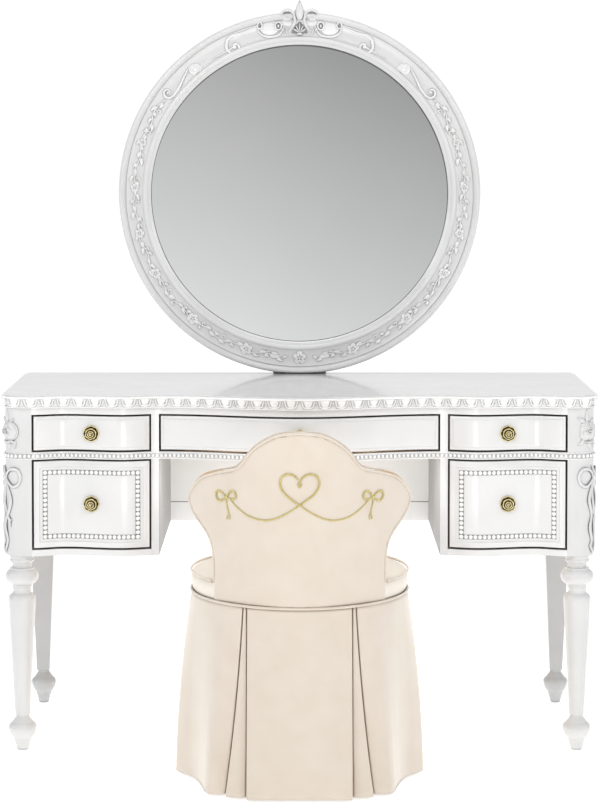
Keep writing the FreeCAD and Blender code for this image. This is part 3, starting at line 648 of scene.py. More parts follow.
def make_top_moulding():
    """A lip over a row of bowls, each in a husk with a thick rim, and a dart between two husks."""
    path = half_front(TOP_HALF, TOP_FRONT, CORNER_R, BACK_Y)
    (_, _, z0), (_, _, z1) = box("top_moulding")
    profile = [(out, z0 + up) for out, up in (
        (-1, 0), (0.1, 0), (0.2, 0.05), (0.22, 0.12), (0.18, 0.2), (0.04, 0.26), (0, 0.36), (0.04, 0.7),
        (0.12, 1.1), (0.24, 1.42), (0.4, 1.62), (0.6, 1.7), (0.66, 1.82))]
    profile += [(0.62, z1 - 0.04), (0.5, z1), (-1, z1)]
    units = round(path.length / UNIT_PITCH)
    pitch = path.length / units
    low, top = z0 + 0.42, z1 - 0.36
    carving, painted_shade = Shape(), Shape()
    for i in range(units):
        s = (i + 0.5) * pitch
        rows = []
        for k in range(9):
            t = k / 8
            z = low + 0.1 + (top - low) * t
            wide = 0.5 + 0.36 * t ** 0.8
            deep = 0.34 * sin(pi * (0.12 + 0.8 * t)) + 0.06
            front = [(s - wide * cos(a), z, 0.08 + 0.22 * t + deep * sin(a) ** 0.7)
                     for a in np.linspace(0, pi, 9)]
            rows.append(front + [(s + wide, z, -0.2), (s - wide, z, -0.2)])
        carving.add(solid(rows))
        husk = [(-1.16, top), (-1.04, (low + top) / 2 + 0.2), (-0.84, low + 0.24), (-0.5, low),
                (0, low - 0.03)]
        husk += [(-a, z) for a, z in husk[-2::-1]]
        # The husk's thick rim, and two dark lines of painted shade beside it: one inside its foot and one
        # below it.
        for part, grow, lift, out, radii, sides in (
                (carving, 0, 0, 0.16, (0.09, 0.13, 0.19, 0.13, 0.09), 8),
                (painted_shade, 0.2, 0.16, 0.22, (0.06,), 6), (painted_shade, 0.13, -0.08, 0.14, (0.06,), 6)):
            pts = [(s + a + grow * np.sign(a), z + lift * (z < low + 0.3), out + 0.22 * (z - low))
                   for a, z in husk]
            part.add(rod(pts, 4, radii, sides))
        dart = s + pitch / 2
        if dart < path.length - 0.4:
            for side in (-1, 1):
                pts = [(dart, top + 0.05, 0.34), (dart + side * 0.1, low + 0.6, 0.22),
                       (dart + side * 0.26, low, 0.14)]
                carving.add(rod(pts, 3, (0.06, 0.1, 0.07), 6))
    half = solid(rows_along(path, profile)).add(carving.mapped(path.point))
    make_object("carved_moulding", both_halves(half), MOULDED, ["top_moulding"])
    make_object("moulding_shade_lines", both_halves(painted_shade.mapped(path.point)), FAINT_SHADE)


def make_pearl_rail():
    """Pearls along the middle rail, round the posts and down both sides, on a dark line of painted shade.
    """
    path = half_front(POST_OUT, FRONT_Y, POST_R, box("bead_moulding")[1][1])
    (_, _, z0), (_, _, z1) = box("mid_rail")
    z = (z0 + z1) / 2
    half = Shape()
    for edge in (-0.52, 0.52):
        bead = [(0.1 * cos(a), z + edge + 0.09 * sin(a)) for a in circle(8)]
        half.add(solid(rows_along(path, bead)))
    pearls = Shape().add(*(ball(((i + 0.5) * PEARL_RAIL_PITCH, z, 0.07), 0.29, 0.38, 0.32)
                           for i in range(int(path.length / PEARL_RAIL_PITCH))))
    half.add(pearls.mapped(path.point))
    make_object("pearl_rail", both_halves(half), CARVED, ["bead_moulding"])
    line = [(w, v) for v, w in corners(z - 0.27, z + 0.27, -0.1, 0.05)]
    make_object("pearl_rail_shade", both_halves(solid(rows_along(path, line))), PALE_SHADE)


def make_rail_joint():
    """Dark line where the thin back panel meets the rail below it."""
    (_, y, z), _ = box("back_panel")
    x = box("inner_panel_right")[0][0] - 0.02
    section = corners(y - 0.03, y + 0.1, z - 0.09, z + 0.09)
    line = solid([[(x * k, b, c) for b, c in section] for k in (-1, 0, 1)])
    make_object("back_rail_joint", line, SHADE_AND_JOINT)


def make_kneehole_skins():
    """Matt skins of painted shade on the two pedestal walls that face the kneehole."""
    (x, _, z0), (_, rear, z1) = box("inner_panel_right")
    section = corners(x - 0.02, x + 0.05, z0 + 0.02, z1 - 0.02)
    skin = solid([[(a, y, c) for a, c in section] for y in (FRONT_Y + serpentine(x) + 0.05, rear - 0.02)])
    make_object("kneehole_shade_skins", both_halves(skin), KNEEHOLE_SHADE)


# ---- Drawer fronts
# Relief of a front: (distance in from its edge, height above the carcase front).
PLAIN_RELIEF = [(0, -0.16), (0.05, -0.05), (0.14, 0), (0.42, 0.02), (0.5, 0.03), (0.56, 0.12),
                (0.64, 0.17), (0.75, 0.18)]
FRAMED_RELIEF = [(0, -0.16), (0.05, -0.05), (0.14, 0), (0.35, 0.08), (0.6, 0.2), (0.8, 0.31),
                 (0.93, 0.35), (1.02, 0.33), (1.07, 0.2), (1.13, 0.15), (1.3, 0.13), (1.5, 0.15),
                 (2.5, 0.15), (2.6, 0.17), (2.75, 0.18)]
PEARL_INSET = 2
PEARL_PITCH = 0.8
PEARL_R = 0.385
FRONT_THICK = 1.3


def on_front(x, z, w):
    return x, FRONT_Y + serpentine(x) - w, z


def make_drawer_front(name, relief, pearls):
    node = name + "_front"
    (x0, _, z0), (x1, _, z1) = box(node)
    inset = [d for d, _ in relief]
    height = [h for _, h in relief]

    def stations(a, b):
        inner = np.linspace(a + inset[-1], b - inset[-1], max(3, int((b - a) / 0.7)))
        return [a + d for d in inset] + list(inner[1:-1]) + [b - d for d in reversed(inset)]

    def place(x, z):
        edge = min(x - x0, x1 - x, z - z0, z1 - z)
        return on_front(x, z, float(np.interp(edge, inset, height)))

    xs, zs = stations(x0, x1), stations(z0, z1)
    shape = Shape()
    shape.grid([[place(x, z) for x in xs] for z in zs])
    shape.grid([[on_front(x, z, -FRONT_THICK) for x in xs] for z in (z0, z1)])
    for z in (z0, z1):
        shape.grid([[on_front(x, z, w) for x in xs] for w in (height[0], -FRONT_THICK)])
    for x in (x0, x1):
        shape.grid([[on_front(x, z, w) for z in zs] for w in (height[0], -FRONT_THICK)])
    front = make_object(name + "_face", shape, WHITE, [node], 30, name)
    face_outwards(front.data, weld=True)
    if pearls:
        make_inset_pearls(name, x0, x1, z0, z1)


def make_inset_pearls(name, x0, x1, z0, z1):
    """Rectangle of pearls on a drawer front, on a line of painted shade."""
    a0, a1, b0, b1 = x0 + PEARL_INSET, x1 - PEARL_INSET, z0 + PEARL_INSET, z1 - PEARL_INSET
    across, up = round((a1 - a0) / PEARL_PITCH), round((b1 - b0) / PEARL_PITCH)
    spots = [(a0 + (a1 - a0) * i / across, b) for i in range(across + 1) for b in (b0, b1)]
    spots += [(a, b0 + (b1 - b0) * i / up) for i in range(1, up) for a in (a0, a1)]
    beads = Shape().add(*(ball((x, z, 0.18), PEARL_R, PEARL_R, 0.32, 14) for x, z in spots))
    make_object(name + "_pearls", beads.mapped(on_front), CARVED, body=name)
    painted_shade, reach = Shape(), 0.42
    bars = [(a0 - reach, a1 + reach, b - reach, b + reach) for b in (b0, b1)]
    bars += [(a - reach, a + reach, b0 + reach, b1 - reach) for a in (a0, a1)]
    for u0, u1, v0, v1 in bars:
        us = np.linspace(u0, u1, max(2, int((u1 - u0) / 0.6)))
        painted_shade.add(solid([[on_front(u, v, w) for v, w in corners(v0, v1, 0, 0.19)] for u in us]))
    make_object(name + "_pearl_shade", painted_shade, SHADE_AND_JOINT, body=name)


def wavy_ring(radius, height, lobes, thick, turn):
    """Scalloped rim of one layer of petals."""
    pts = []
    for a in np.linspace(0, TURN, lobes * 8 + 1):
        wave = abs(cos(lobes * (a - turn) / 2))
        r = radius * (0.9 + 0.14 * wave ** 0.6)
        pts.append((r * cos(a), r * sin(a), height + 0.1 * wave))
    return tube(pts, (thick,))


def make_knob(name):
    """Brass rose: a dark domed plate with bright scalloped rims winding in to a bud."""
    node = name + "_knob"
    (x0, _, z0), (x1, _, z1) = box(node)
    x, z, r = (x0 + x1) / 2, (z0 + z1) / 2, (x1 - x0) / 2

    def straight(u, v, w):
        return x + u, FRONT_Y + serpentine(x) - w, z + v

    dome = [(0, r * 0.9), (0.18, r * 0.98), (0.36, r), (0.5, r * 0.9), (0.85, r * 0.82),
            (1.25, r * 0.62), (1.7, r * 0.45), (2, r * 0.25), (2.1, 0.05)]
    shank = [(-FRONT_THICK - 0.4, 0.33), (0.1, 0.33)]
    nut = [(-FRONT_THICK - 0.38, 0.62), (-FRONT_THICK - 0.32, 0.74), (-FRONT_THICK + 0.05, 0.75)]
    plate = lathe(dome, 48).add(lathe(shank, 20), lathe(nut, 6))
    make_object(name + "_rose_knob", plate.mapped(straight), PATINA, [node], 50, name)
    petals = Shape()
    layers = ((1, 0.5, 8, 0.13), (0.66, 1.15, 6, 0.13), (0.36, 1.75, 5, 0.11))
    for i, (scale, height, lobes, thick) in enumerate(layers):
        petals.add(wavy_ring(r * scale, height, lobes, thick, 0.4 * i))
    petals.add(volute(0, 0, r * 0.22, 0.3, 1.1, 1, 2.12, 0.09))
    make_object(name + "_rose_petals", petals.mapped(straight), BRASS, (), 50, name)


# ---- Mirror
BAND_FACE = 2.45          # carved band, forward of the back of the frame
RING_STEPS = 256
LINE_R = 28.5             # outer edge of the painted shadow line round the glass, tucked under the ring
# Bowls of the two small C-scrolls: (x, z, half width, half height).
BOWLS = ((7.6, 130.15, 0.48, 0.6), (4.05, 130.1, 0.6, 0.76))
# Section of the ring: (distance forward, radius) round the closed loop.
RING = [(0, 29.4), (1.6, 29.4), (1.6, 28.46), (1.95, 28.46), (2.12, 28.6), (2.3, 28.85),
        (2.42, 29.05), (2.72, 29.15), (2.92, 29.35), (3, 29.6), (2.94, 29.85), (2.78, 30.02),
        (2.6, 30.12), (2.6, 30.3), (2.5, 30.45), (2.42, 30.9), (2.4, 31.6), (2.45, 32.3),
        (2.6, 32.9), (2.68, 33.12), (2.62, 33.22), (2.58, 33.28), (2.62, 33.34), (2.88, 33.5),
        (3.1, 33.75), (3.2, 34), (3.12, 34.25), (2.85, 34.48), (2.4, 34.6), (0, 34.6)]


def on_ring(x, z, w):
    return x, BACK_Y - BAND_FACE - w, z


def polar(angle, radius):
    """Place on the ring: degrees clockwise from the top."""
    a = radians(angle)
    return radius * sin(a), MIRROR_Z + radius * cos(a)


def on_polar(places, w):
    return [(*polar(angle, radius), w) for angle, radius in places]


def scroll_right():
    """Long S-scroll and small C-scrolls on the upper right of the ring."""
    w = 0.15
    bowl = [(8.15, 130, w), (7.75, 128.9, w), (6.8, 128.2, w), (5.5, 128, w), (4.3, 128.2, w),
            (3.55, 128.8, w), (3.2, 129.7, w)]
    shape = Shape().add(ball((5.8, 129.5, 0), 1.75, 1.25, 0.3, 20),
                        rod(bowl, 5, (0.1, 0.2, 0.24, 0.2, 0.1), 8, 0.8))
    for x, z, a, b in BOWLS:
        shape.add(rim(x, z, a, b, w + 0.1, 0.16))
    shape.add(ball((4.05, 130.05, 0.3), 0.17, 0.3, 0.2))
    for x, z in ((2.9, 130.3), (2.35, 130)):
        hook = [(x, z, w), (x + 0.25, z - 0.8, w), (x - 0.1, z - 1.6, w)]
        shape.add(rod(hook, 5, (0.05, 0.12, 0.05), 8, 0.8))
    lead = [(8.2, 130, w), (9.6, 129.3, w), (11.4, 128.6, w), (12.9, 128.2, w), (13.9, 127.3, w)]
    shape.add(volute(12.4, 126.1, 1.72, 0.55, 0.95, -1, w + 0.05, 0.3, smooth_path(lead, 4)))
    trail = on_polar([(24, 30.7), (26, 30.55), (30, 30.5), (33, 30.6)], w)
    shape.add(rod(trail, 4, (0.2, 0.12, 0.05), 8, 0.8))
    # Rosette with a raised rim, and a tapering scroll below it that winds out to a curl.
    x, z = polar(40, 31)
    shape.add(ball((x, z, 0), 1.3, 1.15, 0.3, 24), rim(x, z, 0.7, 0.66, w + 0.12, 0.15))
    lead = smooth_path(on_polar([(41.5, 32), (45, 31.3), (49, 30.6), (52, 30.5)], w), 5)
    return shape.add(volute(*polar(52.5, 31.7), 1.1, radians(-120), 0.9, 1, w + 0.05, 0.24, lead))


def garland_right():
    """Trail of curling leaves and small open flowers from the scroll down to the foot of the ring."""
    shape = Shape()

    def spot(angle, out=0):
        return polar(angle, 31.6 + out)

    def wave(angle):
        return 0.35 * sin(angle * 0.55)

    def heading(angle, turn):
        return radians(-angle + turn)

    shape.add(tube([(*spot(a, wave(a)), 0.06) for a in np.arange(55, 175, 1.5)], (0.13,)))
    for i, a in enumerate(np.arange(56.5, 175.5, 2.1)):
        side = 1 if i % 2 else -1
        size, wide = 1.3 + 0.3 * sin(i * 2.1), 0.72 + 0.12 * cos(i * 1.3)
        turn = heading(a, side * (22 + 15 * (i % 3)))
        shape.add(petal(*spot(a, wave(a) + 0.1 * side), turn, size, wide, 0.5, curl=-0.3 * side, vein=0.15))
        if i % 4 == 1:
            shape.add(volute(*spot(a + 1.2, -0.6 * side), 0.42, heading(a, 90), 0.8, side, 0.12, 0.15))
    for a, r in ((72, 0.75), (88, 0.8), (104, 0.9), (119, 1), (139.5, 1.1), (161, 1.15)):
        shape.add(flower(*spot(a, -0.05), r, 0.36, radians(a), 0.08))
    for a, turn in ((173.2, 180), (169.5, 0)):
        shape.add(petal(*spot(a), heading(a, turn), 1.7, 1, 0.4, tip=0.8, vein=0.1))
    return shape


def make_crest():
    """Crest at the top of the ring: a lance leaf over a small shell, between hooded curls, with dark
    painted shade in its undercuts and hollows.
    """
    w = 0.55
    undercut_shade = Shape()
    shape = Shape().add(petal(0, 131.1, pi / 2, 3.9, 1.75, 0.75, w + 0.15, tip=0.62, vein=0.3))
    for side in (-1, 1):
        leg = [(0.85, 133.1, w + 0.1), (1, 131.9, w + 0.3), (0.86, 131.1, w + 0.3),
               (1.25, 130.1, w + 0.2), (1.95, 128.95, w - 0.1)]
        hood = [(1.1, 131.7, w), (1.3, 132.6, w + 0.3), (2.3, 133.12, w + 0.4), (3.35, 132.6, w + 0.3),
                (3.6, 131.7, w)]
        for line, radii in ((leg, (0.12, 0.24, 0.26, 0.3, 0.1)), (hood, (0.14, 0.24, 0.28, 0.24, 0.14))):
            shape.add(rod([(side * x, z, out) for x, z, out in line], 5, radii))
        x = side * 2.35
        undercut_shade.add(ball((x, 132.45, 0.1), 1, 0.5, 0.55, 16))
        shape.add(ball((x, 131.55, 0.1), 1.05, 0.66, 0.5, 16))
        shape.add(volute(x, 131.95, 0.42, pi / 2, 0.9, -side, w + 0.1, 0.13))
        for x, z, a, b in BOWLS:
            undercut_shade.add(ball((side * x, z, 0.05), a - 0.14, b - 0.14, 0.2))
    outline = ((-1.55, 128.75), (0, 128.6), (1.55, 128.75), (0.7, 130.2), (0, 131), (-0.7, 130.2))
    rows = [[(x * k, 129 + (z - 129) * k, out) for x, z in outline]
            for k, out in ((0.05, 0.12), (1, 0.12), (1, -0.2))]
    undercut_shade.add(solid(rows))
    for i in range(-2, 3):
        turn = radians(90 + i * 27)
        shape.add(petal(0, 128.75, turn, 1.95 - 0.12 * abs(i), 0.46, 0.5, 0.2, tip=1.2, vein=0.1))
    shape.add(ball((0, 128.6, 0.2), 0.6, 0.3, 0.4))
    make_object("crest_carving", shape.mapped(on_ring), FRAME_WHITE, ["mirror_crest"], 50)
    make_object("crest_shade", undercut_shade.mapped(on_ring), SHADE_AND_JOINT)


def make_mirror():
    angles = circle(RING_STEPS)
    ring = Shape().grid([[(r * cos(a), BACK_Y - d, MIRROR_Z + r * sin(a)) for a in angles]
                         for d, r in RING + RING[:1]], wrap=True)
    frame_ring = make_object("mirror_ring", ring, FRAME_WHITE, ["mirror_frame"], 28)
    face_outwards(frame_ring.data, weld=True)
    # Painted shadow: a dark line inside the ring for the shade and reflection of its inner lip on the
    # glass. It widens towards the top right.
    inner = [28.36 - 0.17 * max(0, 1.25 * sin(a) + 0.4 * cos(a)) for a in angles]
    outer = [LINE_R] * RING_STEPS
    edge = Shape().grid([[(r * cos(a), GLASS_Y - w, MIRROR_Z + r * sin(a))
                          for a, r in zip(angles, radii)]
                         for radii, w in ((outer, 0), (outer, 0.12), (inner, 0.1), (inner, 0))], wrap=True)
    last = 3 * RING_STEPS
    for j in range(RING_STEPS):
        k = (j + 1) % RING_STEPS
        edge.faces.append((j, k, last + k, last + j))
    make_object("mirror_sight_shadow", edge, SIGHT_SHADOW)
    carving = both_halves(scroll_right().add(garland_right()))
    carving.add(flower(*polar(180, 31.5), 1.25, 0.45, 0.3, 0.1))
    make_object("ring_carving", carving.mapped(on_ring), LEAF_HIGHLIGHT, (), 50)
    make_crest()


# ---- Ornaments on the front posts
def post_path():
    flat = POST_OUT - POST_R
    pts = [(POST_IN, FRONT_Y), (flat, FRONT_Y)]
    for a in np.linspace(0, pi / 2, 16)[1:]:
        pts.append((flat + POST_R * sin(a), FRONT_Y + POST_R - POST_R * cos(a)))
    pts.append((POST_OUT, POST_BACK))
    return Path(pts)


def on_posts(ornament, path, centre, height):
    """The same ornament, unmirrored, centred on the rounded corner of both front posts."""
    def right(u, v, w):
        return path.point(centre + u, height + v, w)

    def left(u, v, w):
        x, y, z = path.point(centre - u, height + v, w)
        return -x, y, z

    return ornament.mapped(right).add(ornament.mapped(left))


def rose_ornament():
    """Rose in a ring, with leaves above and below and a band under it."""
    rose = ball((0, 0, 0), 1.75, 1.75, 0.5, 28, 7)
    arc = [(1.66 * cos(a), 1.66 * sin(a), 0.16) for a in np.linspace(-1.8, 1.8, 30)]
    rose.add(tube(arc, (0.08, 0.16, 0.16, 0.08)))
    for length, width, w in ((2.3, 2.6, 0.05), (1.8, 1.9, 0.3)):
        for turn in (-0.5, 0.45):
            rose.add(petal(0.1, 0, pi + turn, length, width, 0.5, w, 1.3, 0.12 * turn, 0.1))
    for k in range(4):
        rose.add(petal(-0.45, 0, 0.5 + 1.45 * k, 1.05, 0.95, 0.4, 0.45, 1.5, vein=0.1))
    rose.add(volute(-0.5, 0, 0.62, 0.4, 1.5, 1, 0.85, 0.13))
    for u, v, turn, length, width, curl in (
            (-0.6, 1.45, 97, 2.5, 0.75, -0.1), (-0.95, 1.35, 128, 1.9, 0.9, 0.3),
            (0.35, 1.5, 70, 1, 0.5, -0.3), (-0.2, -1.6, -88, 1.7, 1, 0.1),
            (-1.1, -1.3, -120, 1.7, 0.85, -0.3), (1, -1.5, -70, 1.5, 0.7, -0.3)):
        rose.add(petal(u, v, radians(turn), length, width, 0.42, 0, 0.7, curl, 0.2))
    band = [(-1.2, -1.78, 0.2), (-0.3, -1.9, 0.3), (0.7, -1.8, 0.25), (1.15, -2.1, 0.2), (1.2, -2.8, 0.15)]
    return rose.add(rod(band, 5, (0.1, 0.2, 0.2, 0.16)))


def bow_ornament():
    """Ribbon bow: two loops, three ribbons that cross as they hang, a frayed end and a knot."""
    bow = Shape()
    loop = [(0.35, 0.15), (0.85, 0.95), (1.7, 1.5), (2.75, 1.35), (3.3, 0.1), (2.9, -1.2), (2, -1.6),
            (1.1, -1), (0.35, -0.15)]
    for side in (-1, 1):
        pts = [(side * a, b, 0.16 + 0.14 * sin(a)) for a, b in loop]
        bow.add(rod(pts, 6, (0.18, 0.26, 0.27, 0.26, 0.18), 10, 0.8))
    long_right = [(0.1, -0.4), (0.7, -1.8), (1.5, -4), (1, -6), (0.15, -7.6), (0.1, -9), (0.6, -10.9),
                  (0.45, -12.2), (0, -13.3)]
    long_left = [(-0.1, -0.4), (-0.6, -1.7), (-1.35, -4), (-0.6, -6.6), (-1.15, -8.9), (-0.5, -11.2),
                 (-0.95, -12.3), (-0.2, -13.6)]
    cross = [(0, -0.5), (-0.35, -2.5), (-0.25, -4.5), (0.45, -6.5), (1.3, -7.7)]
    for line, lift in ((long_right, 0.18), (long_left, 0.18), (cross, 0.1)):
        pts = [(a, b, lift + 0.08 * cos(1.4 * b)) for a, b in line]
        bow.add(rod(pts, 6, (0.2, 0.3, 0.32, 0.28, 0.32, 0.28, 0.12), 10, 0.7))
    for end in ((1.8, -7.5), (1.4, -8.9), (1.2, -7.1)):
        bow.add(rod([(0.6, -6.8, 0.2), (1.2, -7.5, 0.25), (*end, 0.12)], 4, (0.24, 0.26, 0.05), 8, 0.6))
    return bow.add(ball((0, 0, 0.15), 0.5, 0.66, 0.5),
                   tube([(0.15, 0.4, 0.2), (-0.3, 1.2, 0.3), (-0.7, 2.1, 0.1)], (0.2, 0.24, 0.08), 8, 0.7))


def make_post_ornaments():
    path = post_path()
    flat = POST_OUT - POST_R - POST_IN
    roses = on_posts(rose_ornament(), path, flat + POST_R * 0.72, 57.1)
    make_object("post_roses", roses, TURNED_SHADE, ["rose_appliques"], 50)
    bows = on_posts(bow_ornament(), path, flat + POST_R * 1.09, 48.9)
    make_object("post_ribbons", bows, TURNED_SHADE, ["ribbon_appliques"], 50)


# ---- Chair
FULL_SIZE = 12          # cloth is simulated at the size of the real chair, where it weighs right
FRAMES = 14


def remesh(obj, voxel):
    """Even quads all over a closed piece, so that its cloth stretches alike everywhere."""
    mod = obj.modifiers.new("voxels", "REMESH")
    mod.mode = "VOXEL"
    mod.voxel_size = voxel * MM
    obj.data = bpy.data.meshes.new_from_object(obj.evaluated_get(bpy.context.evaluated_depsgraph_get()))
    obj.modifiers.remove(mod)
    obj.data.shade_smooth()


def inflate(obj, voxel, pinned, cap, pressure):
    """Inflates a piece as cloth. pinned(co) is 0..1, and cap is the furthest move in millimetres."""
    remesh(obj, voxel)
    mesh = obj.data
    start = np.array([v.co for v in mesh.vertices])
    for v in mesh.vertices:
        v.co = v.co * FULL_SIZE
    group = obj.vertex_groups.new(name="pinned")
    for v, co in zip(mesh.vertices, start):
        group.add([v.index], float(pinned(co / MM)), "REPLACE")
    mod = obj.modifiers.new("cloth", "CLOTH")
    settings = {"quality": 6, "mass": 0.35, "vertex_group_mass": "pinned", "tension_stiffness": 15,
                "compression_stiffness": 15, "shear_stiffness": 7.5, "bending_stiffness": 0.5,
                "use_pressure": True, "uniform_pressure_force": pressure}
    for key, value in settings.items():
        setattr(mod.settings, key, value)
    mod.settings.effector_weights.gravity = 0
    mod.collision_settings.use_collision = False
    mod.point_cache.frame_start = 1
    mod.point_cache.frame_end = FRAMES
    scene = bpy.context.scene
    for f in range(1, FRAMES + 1):
        scene.frame_set(f)
    result = obj.evaluated_get(bpy.context.evaluated_depsgraph_get())
    end = np.array([v.co for v in result.data.vertices]) / FULL_SIZE
    obj.modifiers.remove(mod)
    obj.vertex_groups.remove(group)
    scene.frame_set(1)
    move = end - start
    size = np.linalg.norm(move, axis=1)
    limit = cap * MM
    move *= np.where(size > limit, limit / np.maximum(size, 1e-12), 1)[:, None]
    for v, co in zip(mesh.vertices, start + move):
        v.co = co


def oval(angle, a, b, z):
    """Place on the seat's oval: degrees from the rear middle towards +X."""
    t = radians(angle)
    return a * sin(t), SEAT_Y - b * cos(t), z


# Upholstered back.
REAR_Y = -37.35           # rear face at the foot, in the middle
CURVE = 0.0352            # of the back in plan
LEAN = 2
LEAN_HEIGHT = 29.9
BACK_THICK = 3.2
FOOT_Z = BACK_FOOT - 0.3
FOOT_HALF = 14.25
# Half of the outline of the back, from the middle of its top to its foot: (x, z).
CROWN = [(0, 61.05), (3.75, 60.55), (7.3, 58.45), (9.45, 55.75), (10.5, 54.75), (12.2, 54.2), (13.9, 53.7),
         (16.2, 52.6), (17.75, 50.8), (18.45, 49), (18.1, 47.2), (17.1, 45.6), (15.4, 43.4),
         (14.6, 41.6), (14.3, 39.5), (FOOT_HALF, 36), (FOOT_HALF, FOOT_Z)]


def back_outline():
    """Scalloped outline (x, z), closed, anticlockwise from the foot on the right."""
    right = [tuple(p) for p in smooth_path(CROWN, 6)][::-1]
    left = [(-x, z) for x, z in right[-2::-1]]
    foot = [(x, FOOT_Z) for x in np.linspace(-FOOT_HALF, FOOT_HALF, 16)[1:-1]]
    return right + left + foot


def on_back(x, z, w):
    """Place w proud of the rear face of the leaning, curved back."""
    return x, REAR_Y + CURVE * x * x - LEAN * (z - BACK_FOOT) / LEAN_HEIGHT - w, z


def make_back():
    """Padded back: loops of its outline, shrinking towards the middle of both faces."""
    outline = back_outline()
    middle = 45
    scales = [1, 0.985, 0.96, 0.92, 0.86, 0.78, 0.68, 0.56, 0.42, 0.27, 0.12]

    def layer(scale, w):
        return [on_back(x * scale, middle + (z - middle) * scale, w) for x, z in outline]

    rear = [layer(k, 0.3 * (1 - k) ** 0.5) for k in reversed(scales)]
    front = [layer(k, -BACK_THICK - 0.9 * (1 - k) ** 0.5) for k in scales]
    edge = [layer(1, -BACK_THICK * t) for t in (0.25, 0.5, 0.75)]
    pad = make_cloth("back_upholstery", solid(rear + edge + front), ["back_cover", "back_pad"])
    pts = np.array(outline)

    def pinned(co):
        near = np.min(np.hypot(pts[:, 0] - co[0], pts[:, 1] - co[2]))
        return max(0, 1 - near / 1.6)

    inflate(pad, 0.42, pinned, 0.45, 3)

    for name, w, replaces in (("rear", -0.06, ["back_piping"]), ("front", -BACK_THICK, ())):
        cord = rod([on_back(x, z, w) for x, z in outline if z > SEAT_Z1 - 0.3], 2, (0.2,), 10)
        make_cloth("back_welt_" + name, cord, replaces)
    return pad


def rope(points, radius, twist):
    """Two plies twisted round each other along a path (x, z) on the rear of the back."""
    path = smooth_path([(x, z, 0) for x, z in points], 10)
    length = np.concatenate([[0], np.cumsum(np.linalg.norm(np.diff(path, axis=0), axis=1))])
    count = max(12, int(length[-1] / 0.09))
    s = np.linspace(0, length[-1], count)
    x, z = np.interp(s, length, path[:, 0]), np.interp(s, length, path[:, 1])
    tx, tz = np.gradient(x), np.gradient(z)
    size = np.hypot(tx, tz)
    shape = Shape()
    for ply in (0, pi):
        a = twist * s + ply
        side, up = radius * 0.62 * np.cos(a), radius * 0.62 * np.sin(a)
        pts = [(x[i] - tz[i] / size[i] * side[i], z[i] + tx[i] / size[i] * side[i], up[i] + radius * 0.5)
               for i in range(count)]
        shape.add(tube(pts, (radius * 0.5, radius * 0.62, radius * 0.62, radius * 0.5), 6))
    return shape


def make_embroidery(pad):
    """Chain-stitched heart, two swags and a bow at the end of each, lying on the cloth."""
    cloth = BVHTree.FromPolygons([v.co for v in pad.data.vertices],
                                 [p.vertices for p in pad.data.polygons])

    def on_cloth(x, z, w):
        hit = cloth.ray_cast(Vector((x * MM, -0.08, z * MM)), Vector((0, 1, 0)))[0]
        return x, hit.y / MM - w, z

    shape = Shape()
    lobe = [(0, 49.35), (1.35, 50.3), (2.55, 51.3), (3.2, 52.55), (3, 53.9), (1.95, 54.45), (0.85, 54.2),
            (0.25, 53.6)]
    drop = [(0.25, 53.6), (0.02, 53.2), (-0.32, 52.75), (0, 52.3), (0.32, 52.75), (-0.05, 53.25)]
    swag = [(0, 49.35), (-1.9, 48.1), (-4.1, 47), (-6.2, 46.7), (-8.4, 47.2), (-10.2, 48.4), (-11.5, 49.7)]
    bow_l = [(12.1, 49.9), (12.9, 50.7), (13.7, 50.75), (13.8, 49.8), (13.2, 49.2), (12.1, 49.9)]
    bow_r = [(12.1, 49.9), (11.5, 50.9), (10.8, 51), (10.5, 50.2), (11, 49.7), (12.1, 49.9)]
    tail = [(12.1, 49.8), (12, 48.6), (11.75, 47.4), (12, 46.3)]
    tail_2 = [(11.85, 47.6), (11.5, 46.9), (11.55, 46.3)]
    thread, twist = 0.155, 7
    for side in (-1, 1):
        for line, share in ((lobe, 1.1), (swag, 0.85), (bow_l, 1.15), (bow_r, 1.15), (tail, 0.8),
                            (tail_2, 0.7)):
            shape.add(rope([(side * x, z) for x, z in line], thread * share, twist * side))
        shape.add(ball((side * 12.1, 49.9, 0.05), 0.24, 0.24, 0.2))
    shape.add(rope(drop, thread * 0.85, twist))
    make_object("heart_embroidery", shape.mapped(on_cloth), THREAD, ["embroidery"], 60, "chair")


